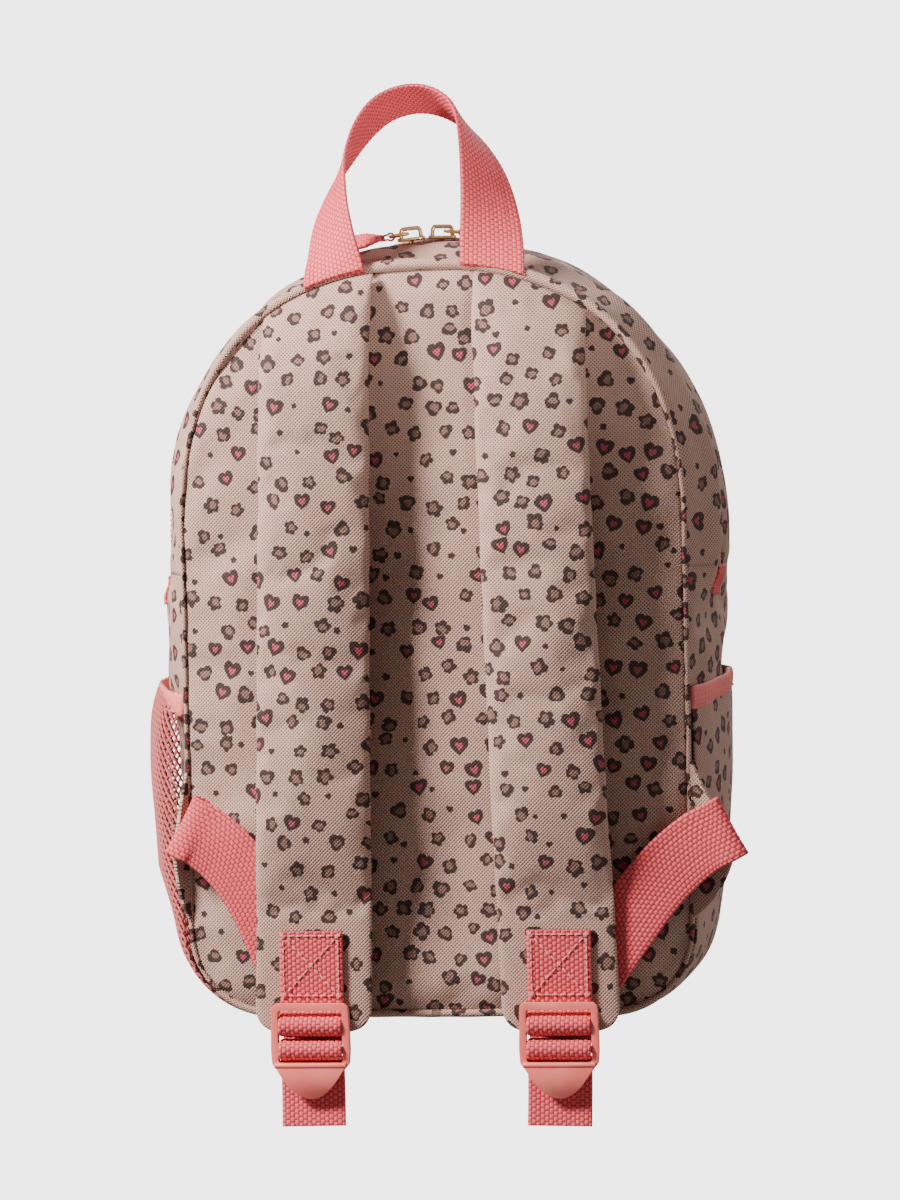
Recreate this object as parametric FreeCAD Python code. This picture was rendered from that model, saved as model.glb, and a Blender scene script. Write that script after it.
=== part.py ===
import FreeCAD
import Part
import math
import os

from FreeCAD import Vector

# A small school backpack, hung from its carry handle.
# Millimetres. The bag is drawn with X across its back, Y from the back panel towards the
# front pocket and Z up from the base seam. save() then moves it, so that the origin is the
# point where the carry handle rests on a hook.

# Driving dimensions
half_width = 98.0        # back seam, centre line to side
arch_height = 192.0      # centre of the round top above the base seam
bag_depth = 105.0        # back seam to front seam
corner_radius = 32.0     # bottom corners
side_bulge = 12.0        # how far the filled side stands out between its two seams
zip_end_height = 172.0   # where the main zip ends on both sides, and the front folds
zip_y = 34.0             # plane of the main zip, from the back seam
webbing_width = 25.0
webbing_thickness = 1.6
fabric = 1.2             # outer cloth with its lining
piping_radius = 2.0
foam_thickness = 5.0

# The carry handle
handle_half_span = 31.0
handle_rise = 74.0
handle_lean = 22.0       # degrees back from upright
handle_pivot = Vector(0, -3.0, 290.3)

# Zip
slit_half = 5.0          # half the gap between the two cloth edges
tape_reach = 9.0         # tape width from the zip plane
tape_thickness = 0.7
teeth_gap = 0.4          # half the gap between the two rows of teeth
teeth_width = 2.5
teeth_height = 1.6
slider_angle = 3.2       # half the angle between the two sliders
slider_lead = 2.0        # degrees to the left of the arch's top at which they meet

# Side and front pockets
pocket_floor = 20.0
pocket_top = 118.0
band_height = 14.0
pocket_gap = 7.0

# Shoulder straps
strap_top = 290.0
strap_foot = -7.0
pad_foot = 36.0          # below this the strap is flat, unpadded cloth
strap_half = 23.0
strap_top_x = 41.5
strap_foot_x = 48.5
strap_cover = 1.2

# Strap adjuster
bar_radius = 1.5
loop_bar = Vector(0, -21.2, -3.0)     # the bar that the sewn loop goes round
grip_bar = Vector(0, -21.6, -12.3)    # the bar that the adjusting webbing goes over
lock_half = 15.25
rail_width = 2.2
lever_tip = -32.0
tail_end = -42.0
tab_reach = 13.0         # how far the anchor tabs stand out from the seam

hinge_y = bag_depth + piping_radius + 0.2
hair = 0.3               # clearance between pieces that move past each other

# The inside of the handle's crown is the origin
lean = math.radians(handle_lean)
crown = handle_rise - webbing_thickness / 2
reach = crown - webbing_thickness / 2
origin = Vector(0, handle_pivot.y + reach * math.sin(lean), handle_pivot.z + reach * math.cos(lean))


def save(name, *solids):
    """Writes one node, moved into the part's frame."""
    shape = solids[0] if len(solids) == 1 else Part.makeCompound(list(solids))
    shape = shape.copy()
    shape.translate(origin * -1)
    shape.exportStep(f"parts/{name}.step")
    print(f"{name:24s} solids {len(shape.Solids)} valid {shape.isValid()} volume {shape.Volume:9.1f}")


def mirror(shape):
    return shape.mirror(Vector(0, 0, 0), Vector(1, 0, 0))


def both_sides(name, shape):
    """The piece is drawn on the right, at +X, and mirrored for the left."""
    save(name + "_right", shape)
    save(name + "_left", mirror(shape))


def box(low, high):
    return Part.makeBox(*(high - low), low)


def polygon(points):
    return Part.Face(Part.makePolygon(points + [points[0]]))


def turned(shape, pivot, degrees, axis=Vector(1, 0, 0)):
    moved = shape.copy()
    moved.rotate(pivot, axis, degrees)
    return moved


# ---- The outline of the back and front panels ----

def outline(offset, y):
    """Round top, straight sides and rounded bottom corners, grown by offset, as a closed wire."""
    r = half_width + offset
    c = corner_radius + offset
    flat = half_width - corner_radius
    diagonal = c * math.sqrt(0.5)
    at = lambda x, z: Vector(x, y, z)
    return Part.Wire([
        Part.Arc(at(-r, arch_height), at(0, arch_height + r), at(r, arch_height)).toShape(),
        Part.makeLine(at(r, arch_height), at(r, corner_radius)),
        Part.Arc(at(r, corner_radius), at(flat + diagonal, corner_radius - diagonal),
                 at(flat, -offset)).toShape(),
        Part.makeLine(at(flat, -offset), at(-flat, -offset)),
        Part.Arc(at(-flat, -offset), at(-flat - diagonal, corner_radius - diagonal),
                 at(-r, corner_radius)).toShape(),
        Part.makeLine(at(-r, corner_radius), at(-r, arch_height)),
    ])


def panel(offset, y, thickness):
    return Part.Face(outline(offset, y)).extrude(Vector(0, thickness, 0))


def above(height):
    return box(Vector(-300, -100, height), Vector(300, 300, 600))


def below(height):
    return box(Vector(-300, -100, -300), Vector(300, 300, height))


def piping(y):
    """A covered cord along the whole seam."""
    path = outline(0, y)
    start = Vector(half_width, y, arch_height - 40)
    edges = path.Edges
    ring = Part.Wire(Part.makeCircle(piping_radius, start, Vector(0, 0, 1)))
    upper = Part.makeLine(start, Vector(half_width, y, arch_height))
    lower = Part.makeLine(Vector(half_width, y, corner_radius), start)
    spine = Part.Wire([upper.copy()] + [edges[0], edges[5], edges[4], edges[3], edges[2]] + [lower])
    return spine.makePipeShell([ring], True, False)


# ---- The gusset: the cloth between the two seams, which stands out in a shallow curve ----

def side_radius(y, bulge=side_bulge):
    """How far the inner face of the gusset is from the arch's centre line at depth y."""
    half = bag_depth / 2
    curve = (half * half + bulge * bulge) / (2 * bulge)
    return half_width + math.sqrt(curve * curve - (y - half) ** 2) - (curve - bulge)


def gusset_section(y0, y1, low, high, z, bulge=side_bulge):
    """The section on the left side, between depths y0 and y1, from low to high off the inner face."""
    def curve(step, a, b):
        ends = [Vector(-side_radius(y, bulge) - step, y, z) for y in (a, (a + b) / 2, b)]
        return Part.Arc(*ends).toShape()
    inner = curve(low, y0, y1)
    outer = curve(high, y1, y0)
    first = Part.makeLine(inner.valueAt(inner.LastParameter), outer.valueAt(outer.FirstParameter))
    last = Part.makeLine(outer.valueAt(outer.LastParameter), inner.valueAt(inner.FirstParameter))
    return Part.Wire([inner, first, outer, last])


def gusset_arch(y0, y1, low=0.0, high=fabric, foot=zip_end_height + hair):
    """A strip of the gusset over the round top and down both sides to foot."""
    section = Part.Face(gusset_section(y0, y1, low, high, arch_height))
    arch = section.revolve(Vector(0, 0, arch_height), Vector(0, 1, 0), 180)
    leg = section.extrude(Vector(0, 0, foot - arch_height))
    return arch.fuse([leg, mirror(leg)]).removeSplitter()


def side_panel():
    """The left side below the zip, whose bulge fades out towards the base."""
    top = zip_end_height - hair
    sections = [gusset_section(2.1, bag_depth - 2.1, 0, fabric, z, b)
                for z, b in ((top, side_bulge), (corner_radius + 0.2, 0.6))]
    return Part.makeLoft(sections, True, True)


def side_bulge_at(z):
    """The side panel's bulge at a height."""
    share = (z - corner_radius) / (zip_end_height - corner_radius)
    return 0.6 + (side_bulge - 0.6) * min(1.0, max(0.0, share))


def base_panel():
    ring = Part.Face(outline(fabric, 2.1)).cut(Part.Face(outline(0, 2.1)))
    tray = ring.extrude(Vector(0, bag_depth - 4.2, 0))
    return tray.common(below(corner_radius))


# ---- Side pockets: a curved sheet with a floor, open at the top, with an elastic band ----

def pocket_section(z, low, high):
    """A curved strip outside the side panel, sewn in at both seams, on the left."""
    bulge = side_bulge_at(z) + pocket_gap + (4.0 if z < pocket_top - 20 else 0.0)
    return gusset_section(4.0, bag_depth - 4.0, fabric + 0.5 + low, fabric + 0.5 + high, z, bulge)


def side_pocket():
    heights = (pocket_floor, 70.0, pocket_top)
    sheet = Part.makeLoft([pocket_section(z, 0, fabric) for z in heights], True, True)
    floor_edge = pocket_section(pocket_floor, 0, fabric).Edges[2]
    front = floor_edge.valueAt(floor_edge.FirstParameter)
    back = floor_edge.valueAt(floor_edge.LastParameter)
    floor_face = Part.Face(Part.Wire([floor_edge, Part.makeLine(back, front)]))
    floor = floor_face.extrude(Vector(0, 0, -fabric))
    return sheet.fuse(floor).removeSplitter()


def pocket_band():
    low, high = pocket_top + 0.05, pocket_top + band_height
    return Part.makeLoft([pocket_section(z, -0.1, fabric + 0.3) for z in (low, high)], True, True)


# ---- Front pocket: a shallow tray of cloth, open at the top ----
front_face = bag_depth + fabric
front_pocket_half = 78.0
front_pocket_floor = 14.0
front_pocket_top = 146.0
front_pocket_depth = 14.0
front_pocket_corner = 18.0


def front_pocket_block(inset, bottom, y0, y1, top):
    width = front_pocket_half - inset
    corner = front_pocket_corner - inset
    at = lambda x, z: Vector(x, y0, z)
    diagonal = corner * (1 - math.sqrt(0.5))
    edges = Part.Wire([
        Part.makeLine(at(width, top), at(width, bottom + corner)),
        Part.Arc(at(width, bottom + corner), at(width - diagonal, bottom + diagonal),
                 at(width - corner, bottom)).toShape(),
        Part.makeLine(at(width - corner, bottom), at(corner - width, bottom)),
        Part.Arc(at(corner - width, bottom), at(diagonal - width, bottom + diagonal),
                 at(-width, bottom + corner)).toShape(),
        Part.makeLine(at(-width, bottom + corner), at(-width, top)),
        Part.makeLine(at(-width, top), at(width, top)),
    ])
    return Part.Face(edges).extrude(Vector(0, y1 - y0, 0))


def front_pocket():
    y0 = front_face + 0.1
    y1 = y0 + front_pocket_depth
    outer = front_pocket_block(0, front_pocket_floor, y0, y1, front_pocket_top)
    inner = front_pocket_block(fabric, front_pocket_floor + fabric, y0 - 1, y1 - fabric, front_pocket_top + 1)
    return outer.cut(inner)


def front_pocket_binding():
    """The webbing that binds the pocket's mouth."""
    y0 = front_face + 0.1
    low, high = front_pocket_top + 0.05, front_pocket_top + 9.0
    outer = box(Vector(-front_pocket_half, y0, low), Vector(front_pocket_half, y0 + front_pocket_depth + 0.4, high))
    inner = box(Vector(fabric - front_pocket_half, y0 - 1, low - 1),
                Vector(front_pocket_half - fabric, y0 + front_pocket_depth - fabric, high + 1))
    return outer.cut(inner)


# ---- Carry handle: webbing that lies flat at both ends and turns edge-on over its crown ----

def handle_point(t):
    """The handle's centre line, upright, for t from -1 to 1."""
    angle = t * math.pi / 2
    x = handle_half_span * math.sin(angle)
    z = handle_pivot.z + hair + (crown - hair) * math.cos(angle) ** 0.9
    return Vector(x, handle_pivot.y, z)


def handle_section(t):
    step = 0.002
    a, b = handle_point(max(-1, t - step)), handle_point(min(1, t + step))
    along = (b - a).normalize()
    flat = Vector(along.z, 0, -along.x)
    twist = math.radians(90) * min(1.0, 1.6 * (1 - abs(t))) ** 1.2
    side = flat * math.cos(twist) - Vector(0, 1, 0) * math.sin(twist)
    face = along.cross(side)
    across, thick = side * (webbing_width / 2), face * (webbing_thickness / 2)
    c = handle_point(t)
    corners = [c - across - thick, c + across - thick, c + across + thick, c - across + thick]
    return Part.makePolygon(corners + [corners[0]])


def carry_handle():
    stations = [-1, -0.985, -0.95, -0.88, -0.78, -0.66, -0.52, -0.36, -0.18]
    stations += [0.0] + [-t for t in reversed(stations)]
    upright = Part.makeLoft([handle_section(t) for t in stations], True, True)
    return turned(upright, handle_pivot, -handle_lean)


# ---- Zip sliders and pulls, drawn for the left at the top of the arch, then turned into place ----
teeth_base = side_radius(zip_y)
slider_half_length = 5.3
slider_half_width = 4.0
plate = 1.0
plate_lift = teeth_height + 0.9       # underside of the top plate above the cloth's inner face
bail_half = 3.4
bail_window = 3.2
bail_bar = 1.1
ring_wire = 0.6
ring_length = 7.0                     # between the centres of the ring's two ends
ring_half = 2.4
tab_length = 20.0
tab_half = 4.5
tab_half_thickness = 1.3
ring_dip = 4.0
tab_dip = 2.8
slider_centre = Vector(0, zip_y, arch_height + teeth_base)
ring_pivot = slider_centre + Vector(-1.2, 0, plate_lift + plate + bail_window - ring_wire - 0.7)
ring_end = ring_pivot + Vector(-math.cos(math.radians(ring_dip)), 0, -math.sin(math.radians(ring_dip))) * ring_length


def slider():
    c = slider_centre
    top = box(c + Vector(-slider_half_length, -slider_half_width, plate_lift),
              c + Vector(slider_half_length, slider_half_width, plate_lift + plate))
    top = top.makeFillet(1.2, [e for e in top.Edges if abs(e.Vertexes[0].Z - e.Vertexes[1].Z) > 0.5])
    bottom = top.copy()
    bottom.translate(Vector(0, 0, -plate_lift - plate - 1.6))
    neck = box(c + Vector(1.5, -0.2, -2.0), c + Vector(slider_half_length - 0.6, 0.2, plate_lift + 0.5))
    bail_base = plate_lift + plate
    outer = box(c + Vector(-bail_half, -0.8, bail_base - 0.3),
                c + Vector(bail_half, 0.8, bail_base + bail_window + bail_bar))
    outer = outer.makeFillet(1.3, [e for e in outer.Edges
                                   if abs(e.Vertexes[0].Y - e.Vertexes[1].Y) > 0.5
                                   and e.Vertexes[0].Z > c.z + bail_base])
    window = box(c + Vector(bail_bar - bail_half, -2, bail_base),
                 c + Vector(bail_half - bail_bar, 2, bail_base + bail_window))
    return top.fuse([bottom, neck, outer.cut(window)]).removeSplitter()


def pull_ring():
    """An oval wire ring that hangs through the slider's bail."""
    c = ring_pivot
    at = lambda x, y: c + Vector(x, y, 0)
    corner = 1.4
    flat = ring_half - corner
    slant = corner * math.sqrt(0.5)
    far = -ring_length
    path = Part.Wire([
        Part.makeLine(at(0, -flat), at(0, flat)),
        Part.Arc(at(0, flat), at(slant - corner, flat + slant), at(-corner, ring_half)).toShape(),
        Part.makeLine(at(-corner, ring_half), at(far + corner, ring_half)),
        Part.Arc(at(far + corner, ring_half), at(far + corner - slant, flat + slant), at(far, flat)).toShape(),
        Part.makeLine(at(far, flat), at(far, -flat)),
        Part.Arc(at(far, -flat), at(far + corner - slant, -flat - slant), at(far + corner, -ring_half)).toShape(),
        Part.makeLine(at(far + corner, -ring_half), at(-corner, -ring_half)),
        Part.Arc(at(-corner, -ring_half), at(slant - corner, -flat - slant), at(0, -flat)).toShape(),
    ])
    wire = Part.Wire(Part.makeCircle(ring_wire, at(0, -flat), Vector(0, 1, 0)))
    ring = path.makePipeShell([wire], True, False)
    return turned(ring, c, -ring_dip, Vector(0, 1, 0))


def pull_tab():
    """Folded webbing with an eye at its end that goes round the ring."""
    c = ring_end
    eye_radius, eye_hole, eye_half = 1.9, 1.0, 1.4
    eye = Part.makeCylinder(eye_radius, 2 * eye_half, c - Vector(0, eye_half, 0), Vector(0, 1, 0))
    hole = Part.makeCylinder(eye_hole, 20, c - Vector(0, 10, 0), Vector(0, 1, 0))
    stem = box(c + Vector(-4.0, -eye_half, -1.0), c + Vector(0, eye_half, 1.0))
    body = box(c + Vector(-tab_length, -tab_half, -tab_half_thickness),
               c + Vector(-3.0, tab_half, tab_half_thickness))
    tab = eye.fuse([stem, body]).removeSplitter().cut(hole)
    return turned(tab, c, -tab_dip, Vector(0, 1, 0))


def on_arch(shape, angle):
    """From the top of the arch down its left side by an angle."""
    return turned(shape, Vector(0, 0, arch_height), -angle, Vector(0, 1, 0))


# ---- Shoulder straps ----

def strap_profile(inset, foot):
    """The strap from the side, in the YZ plane: thin at the top, padded, then flat at its foot."""
    at = lambda y, z: Vector(0, y, z)
    pad_top = 272.0
    back = Part.Arc(at(-4 - inset, strap_top - inset), at(-14.5 - inset, 150), at(-12.2 - inset, pad_foot)).toShape()
    front = Part.Arc(at(-20.5 + inset, 47), at(-23.5 + inset, 150), at(-13 + inset, pad_top)).toShape()
    edges = [back]
    if foot < pad_foot:
        edges += [Part.makeLine(at(-12.2, pad_foot), at(-12, foot)),
                  Part.makeLine(at(-12, foot), at(-15, foot)),
                  Part.makeLine(at(-15, foot), at(-15.2, pad_foot))]
    else:
        edges += [Part.makeLine(at(-12.2 - inset, pad_foot), at(-15.2 + inset, pad_foot))]
    edges += [Part.makeLine(at(-15.2 + inset, pad_foot), at(-20.5 + inset, 47)),
              front,
              Part.makeLine(at(-13 + inset, pad_top), at(-7 + inset, strap_top - inset)),
              Part.makeLine(at(-7 + inset, strap_top - inset), at(-4 - inset, strap_top - inset))]
    return Part.Face(Part.Wire(edges))


def strap_plan(inset):
    """The strap from the back, in the XZ plane, with a slanting top and a rounded foot."""
    half = strap_half - inset
    corner = 9.0
    at = lambda x, z: Vector(x, -60, z)
    top_in, top_out = strap_top - inset, strap_top - 15.0 - inset
    face = polygon([at(strap_top_x - half, top_in), at(strap_top_x + half, top_out),
                    at(strap_foot_x + half, strap_foot + corner),
                    at(strap_foot_x + half - corner, strap_foot),
                    at(strap_foot_x - half + corner, strap_foot),
                    at(strap_foot_x - half, strap_foot + corner)])
    return face.extrude(Vector(0, 80, 0))


def strap_solid(inset, foot):
    side = strap_profile(inset, foot).extrude(Vector(140, 0, 0))
    return side.common(strap_plan(inset))


# ---- Anchor tabs and adjusting webbing ----

def anchor_tab():
    """A wedge of folded cloth from the back seam, which holds the lower end of the webbing."""
    slope = 0.357
    seam_x = half_width + piping_radius + 0.3
    at = lambda x, z: Vector(x, -0.6 - (x - seam_x) * slope, z)
    face = polygon([at(seam_x, 99), at(seam_x, 34), at(seam_x + tab_reach, 60), at(seam_x + tab_reach - 3, 84)])
    return face.extrude(Vector(slope, 1, 0).normalize() * -1.6)


webbing_back = -8.9      # the face of the lower webbing nearest the back panel


def lower_webbing():
    """From the anchor tab down behind the strap, then forward under the strap's foot."""
    seam_x = half_width + piping_radius
    half = webbing_width / 2
    at = lambda x, z: Vector(x, webbing_back, z)
    foot = strap_foot - 2.0
    sheet = polygon([at(seam_x + tab_reach, 60), at(seam_x + tab_reach - 3, 84), at(seam_x + 1, 82),
                     at(strap_foot_x + half, 50), at(strap_foot_x - half, 31),
                     at(strap_foot_x - half, foot - webbing_thickness),
                     at(strap_foot_x + half, foot - webbing_thickness),
                     at(strap_foot_x + half, 18), at(seam_x - 6, 50)])
    sheet = sheet.extrude(Vector(0, -webbing_thickness, 0))
    forward = box(Vector(strap_foot_x - half, -15.8, foot - webbing_thickness),
                  Vector(strap_foot_x + half, webbing_back - webbing_thickness + 0.1, foot))
    return sheet.fuse(forward).removeSplitter()


def round_bar(centre, half, radius):
    return Part.makeCylinder(radius, 2 * half, Vector(strap_foot_x - half, centre.y, centre.z), Vector(1, 0, 0))


def buckle_loop():
    """Webbing sewn flat on the strap's foot, with a loop that holds the adjuster."""
    half = webbing_width / 2
    face = -15.3
    patch = box(Vector(strap_foot_x - half, face - webbing_thickness, loop_bar.z + 2),
                Vector(strap_foot_x + half, face, pad_foot - 2.5))
    inner = bar_radius + hair
    outer = inner + webbing_thickness
    loop = round_bar(loop_bar, half, outer).cut(round_bar(loop_bar, half + 1, inner))
    link = box(Vector(strap_foot_x - half, loop_bar.y + inner, loop_bar.z - 0.5),
               Vector(strap_foot_x + half, face - 0.1, loop_bar.z + 2.4))
    link = link.cut(round_bar(loop_bar, half + 1, inner))
    return patch.fuse([loop, link]).removeSplitter()


def ladder_lock():
    """A moulded frame with two cross bars and a rounded thumb lever."""
    y0, y1 = loop_bar.y - 2.3, loop_bar.y + 1.5
    x = strap_foot_x
    top, foot = 6.0, -18.0
    at = lambda dx, z: Vector(x + dx, y0, z)
    outer = polygon([at(-lock_half + 2.5, top), at(lock_half - 2.5, top), at(lock_half, top - 2.5),
                     at(lock_half, foot), at(lock_half - 3.0, foot - 4.0), at(3.0 - lock_half, foot - 4.0),
                     at(-lock_half, foot), at(-lock_half, top - 2.5)])
    frame = outer.extrude(Vector(0, y1 - y0, 0))
    window = box(Vector(x - lock_half + rail_width, y0 - 1, foot + 1.0),
                 Vector(x + lock_half - rail_width, y1 + 1, top - 3.0))
    frame = frame.cut(window)
    frame = frame.cut(box(Vector(x - 20, loop_bar.y - 0.5, top - 3.1), Vector(x + 20, y1 + 1, top + 1)))
    lever = Part.Face(Part.Wire([
        Part.Arc(at(12.3, foot - 3.0), at(0, lever_tip), at(-12.3, foot - 3.0)).toShape(),
        Part.makeLine(at(-12.3, foot - 3.0), at(12.3, foot - 3.0))])).extrude(Vector(0, 2.6, 0))
    bars = [round_bar(b, lock_half - 1, bar_radius) for b in (loop_bar, grip_bar)]
    solid = frame.fuse([lever] + bars).removeSplitter()
    behind = box(Vector(x - webbing_width / 2 - 0.5, y0 + 2.6, foot - 6), Vector(x + webbing_width / 2 + 0.5, y1 + 1, foot + 1.0))
    return solid.cut(behind)


def webbing_tail():
    """The adjusting webbing's free end: in from behind, over the grip bar and down behind the lever."""
    half = webbing_width / 2
    inner = bar_radius + 0.05
    outer = inner + webbing_thickness
    wrap = round_bar(grip_bar, half, outer).cut(round_bar(grip_bar, half + 1, inner))
    x0, x1 = strap_foot_x - half, strap_foot_x + half
    wrap = wrap.cut(box(Vector(x0 - 1, grip_bar.y, grip_bar.z - 6), Vector(x1 + 1, grip_bar.y + 6, grip_bar.z + 6)))
    entry = box(Vector(x0, grip_bar.y - 0.1, grip_bar.z + inner), Vector(x1, -16.1, grip_bar.z + outer))
    exit_ply = box(Vector(x0, grip_bar.y - 0.1, grip_bar.z - outer), Vector(x1, -17.6, grip_bar.z - inner))
    tail = box(Vector(x0, -19.2, tail_end), Vector(x1, -17.6, grip_bar.z - inner))
    return wrap.fuse([entry, exit_ply, tail]).removeSplitter()


def main():
    os.makedirs("parts", exist_ok=True)
    upper, lower = above(zip_end_height + hair), below(zip_end_height - hair)

    # Back: cloth, foam and lining, with a covered cord in the seam
    save("back_panel", panel(-2.1, -fabric, fabric))
    save("back_foam", panel(-3.0, 0.05, foam_thickness))
    save("back_lining", panel(-3.0, foam_thickness + 0.1, 0.6))
    save("back_piping", piping(0))

    # Gusset, base and front
    save("gusset_back_strip", gusset_arch(2.1, zip_y - slit_half, foot=zip_end_height - hair))
    save("gusset_front_strip", gusset_arch(zip_y + slit_half, bag_depth - 2.1))
    left = side_panel().common(below(zip_end_height - 2 * hair))
    save("side_panel_left", left)
    save("side_panel_right", mirror(left))
    save("base_panel", base_panel())
    save("base_board", box(Vector(corner_radius - half_width, 6.5, 0.1),
                           Vector(half_width - corner_radius, bag_depth - 2, 2.1)))
    front = panel(-2.1, bag_depth, fabric)
    save("front_panel_upper", front.common(upper))
    save("front_panel_lower", front.common(lower))
    cord = piping(bag_depth)
    save("front_piping_upper", cord.common(upper))
    save("front_piping_lower", cord.common(lower))

    # Main zip
    tape = (-tape_thickness - 0.1, -0.1)
    teeth = (-0.05, teeth_height)
    back_foot = zip_end_height - hair
    save("zip_tape_back", gusset_arch(zip_y - tape_reach, zip_y - teeth_gap, *tape, back_foot))
    save("zip_tape_front", gusset_arch(zip_y + teeth_gap, zip_y + tape_reach, *tape))
    save("zip_teeth_back", gusset_arch(zip_y - teeth_gap - teeth_width, zip_y - teeth_gap, *teeth, back_foot))
    save("zip_teeth_front", gusset_arch(zip_y + teeth_gap, zip_y + teeth_gap + teeth_width, *teeth))
    end_tab = Part.makeLoft([gusset_section(zip_y - 7, zip_y + 7, fabric + 0.1, fabric + 1.1, z, side_bulge_at(z))
                             for z in (zip_end_height - 12, zip_end_height - 1)], True, True)
    save("zip_end_tab_left", end_tab)
    save("zip_end_tab_right", mirror(end_tab))
    for name, shape in (("zip_slider", slider()), ("pull_ring", pull_ring()), ("pull_tab", pull_tab())):
        save(name + "_left", on_arch(shape, slider_angle + slider_lead))
        save(name + "_right", mirror(on_arch(shape, slider_angle - slider_lead)))

    # Pockets
    pocket, band = side_pocket(), pocket_band()
    save("mesh_pocket", pocket)
    save("mesh_pocket_band", band)
    save("cloth_pocket", mirror(pocket))
    save("cloth_pocket_band", mirror(band))
    save("front_pocket", front_pocket())
    save("front_pocket_binding", front_pocket_binding())

    # Handle, straps and adjusters
    save("carry_handle", carry_handle())
    cover = strap_solid(0, strap_foot).cut(strap_solid(strap_cover, pad_foot + 6))
    both_sides("strap_cover", cover)
    both_sides("strap_foam", strap_solid(strap_cover + 0.1, pad_foot + 6))
    both_sides("anchor_tab", anchor_tab())
    both_sides("lower_webbing", lower_webbing())
    both_sides("buckle_loop", buckle_loop())
    both_sides("ladder_lock", ladder_lock())
    both_sides("webbing_tail", webbing_tail())


main()
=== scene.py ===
import math

import bmesh
import bpy
import numpy as np
from mathutils import Matrix, Quaternion, Vector, noise


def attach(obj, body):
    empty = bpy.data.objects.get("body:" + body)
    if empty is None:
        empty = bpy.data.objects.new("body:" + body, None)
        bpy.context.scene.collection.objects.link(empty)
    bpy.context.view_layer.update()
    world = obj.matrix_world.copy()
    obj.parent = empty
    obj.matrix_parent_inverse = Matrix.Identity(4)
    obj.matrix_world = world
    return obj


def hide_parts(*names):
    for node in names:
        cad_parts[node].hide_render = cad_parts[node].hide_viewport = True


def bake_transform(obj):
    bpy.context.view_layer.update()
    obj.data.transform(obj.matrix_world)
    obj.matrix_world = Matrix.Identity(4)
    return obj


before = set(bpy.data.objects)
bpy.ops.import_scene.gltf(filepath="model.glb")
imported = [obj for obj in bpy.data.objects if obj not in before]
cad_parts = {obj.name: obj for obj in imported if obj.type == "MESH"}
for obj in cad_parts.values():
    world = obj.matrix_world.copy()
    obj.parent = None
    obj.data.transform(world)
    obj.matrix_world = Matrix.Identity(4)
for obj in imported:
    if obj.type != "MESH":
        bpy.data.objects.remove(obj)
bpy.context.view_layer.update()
print("frame loaded")

# Lengths are millimetres in the bag's own layout: X across, Y from the back panel to the front, Z up from the base seam.
# place() turns them into the frame, whose origin is the inside of the carry handle's crown.
handle = {"pivotY": -3.0, "pivotZ": 290.3, "lean": 22, "reach": 72.4, "crown": 73.2, "halfSpan": 31.0,
          "width": 25.0, "thickness": 1.6}
lean = math.radians(handle["lean"])
originMm = np.array([0, handle["pivotY"] + handle["reach"] * math.sin(lean),
                     handle["pivotZ"] + handle["reach"] * math.cos(lean)])


def place(points):
    return (np.asarray(points, float) - originMm) / 1000


# ---- Shader node helpers ----

class Nodes:
    """A material's node tree with short ways to add and link nodes."""

    def __init__(self, name):
        self.material = bpy.data.materials.new(name)
        self.material.use_nodes = True
        self.tree = self.material.node_tree
        self.shader = self.tree.nodes["Principled BSDF"]

    def add(self, kind, inputs=(), **settings):
        node = self.tree.nodes.new(kind)
        for key, value in settings.items():
            setattr(node, key, value)
        for key, value in dict(inputs).items():
            self.put(value, node.inputs[key])
        return node

    def put(self, value, socket):
        if isinstance(value, bpy.types.NodeSocket):
            self.tree.links.new(value, socket)
        else:
            socket.default_value = value

    def math(self, operation, *values):
        return self.add("ShaderNodeMath", enumerate(values), operation=operation).outputs[0]

    def uv(self):
        return self.add("ShaderNodeUVMap", uv_map="cloth").outputs[0]

    def object(self):
        return self.add("ShaderNodeTexCoord").outputs["Object"]

    def split(self, vector):
        return self.add("ShaderNodeSeparateXYZ", {0: vector}).outputs

    def noise(self, vector, scale, detail=2.0, roughness=0.5):
        return self.add("ShaderNodeTexNoise", {"Vector": vector, "Scale": scale, "Detail": detail,
                                               "Roughness": roughness}).outputs["Fac"]

    def step(self, value, low, high):
        """0 below low and 1 above high, with a smooth change between them."""
        node = self.add("ShaderNodeMapRange", {"Value": value, "From Min": low, "From Max": high},
                        interpolation_type="SMOOTHSTEP")
        return node.outputs[0]

    def span(self, value, low, high):
        """A 0 to 1 value, spread over low to high."""
        return self.add("ShaderNodeMapRange", {"Value": value, "To Min": low, "To Max": high}).outputs[0]

    def mix(self, factor, a, b, blend="MIX"):
        node = self.add("ShaderNodeMix", data_type="RGBA", blend_type=blend, clamp_result=True)
        self.put(factor, node.inputs[0])
        self.put(a, node.inputs[6])
        self.put(b, node.inputs[7])
        return node.outputs[2]

    def bump(self, height, distance, strength=1.0, normal=None):
        inputs = {"Height": height, "Distance": distance, "Strength": strength}
        if normal is not None:
            inputs["Normal"] = normal
        return self.add("ShaderNodeBump", inputs).outputs[0]

    def finish(self, **inputs):
        for key, value in inputs.items():
            self.put(value, self.shader.inputs[key.replace("_", " ")])
        return self.material


def srgb(r, g, b):
    """A colour given as 0 to 255 display values."""
    linear = [c / 12.92 / 255 if c < 10.3 else ((c / 255 + 0.055) / 1.055) ** 2.4 for c in (r, g, b)]
    return (*linear, 1.0)


# ---- Materials ----

# the yarn gap colour is painted shade in the gaps between the yarns
printCloth = {"ground": (204, 161, 144), "yarnGapShade": (58, 35, 29), "outline": (36, 21, 23),
              "spotFill": (142, 105, 93), "heartFill": (186, 74, 92),
              "spacing": 0.0108, "motif": 0.0033, "dot": 0.0014, "weavePitch": 0.00145}


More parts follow.
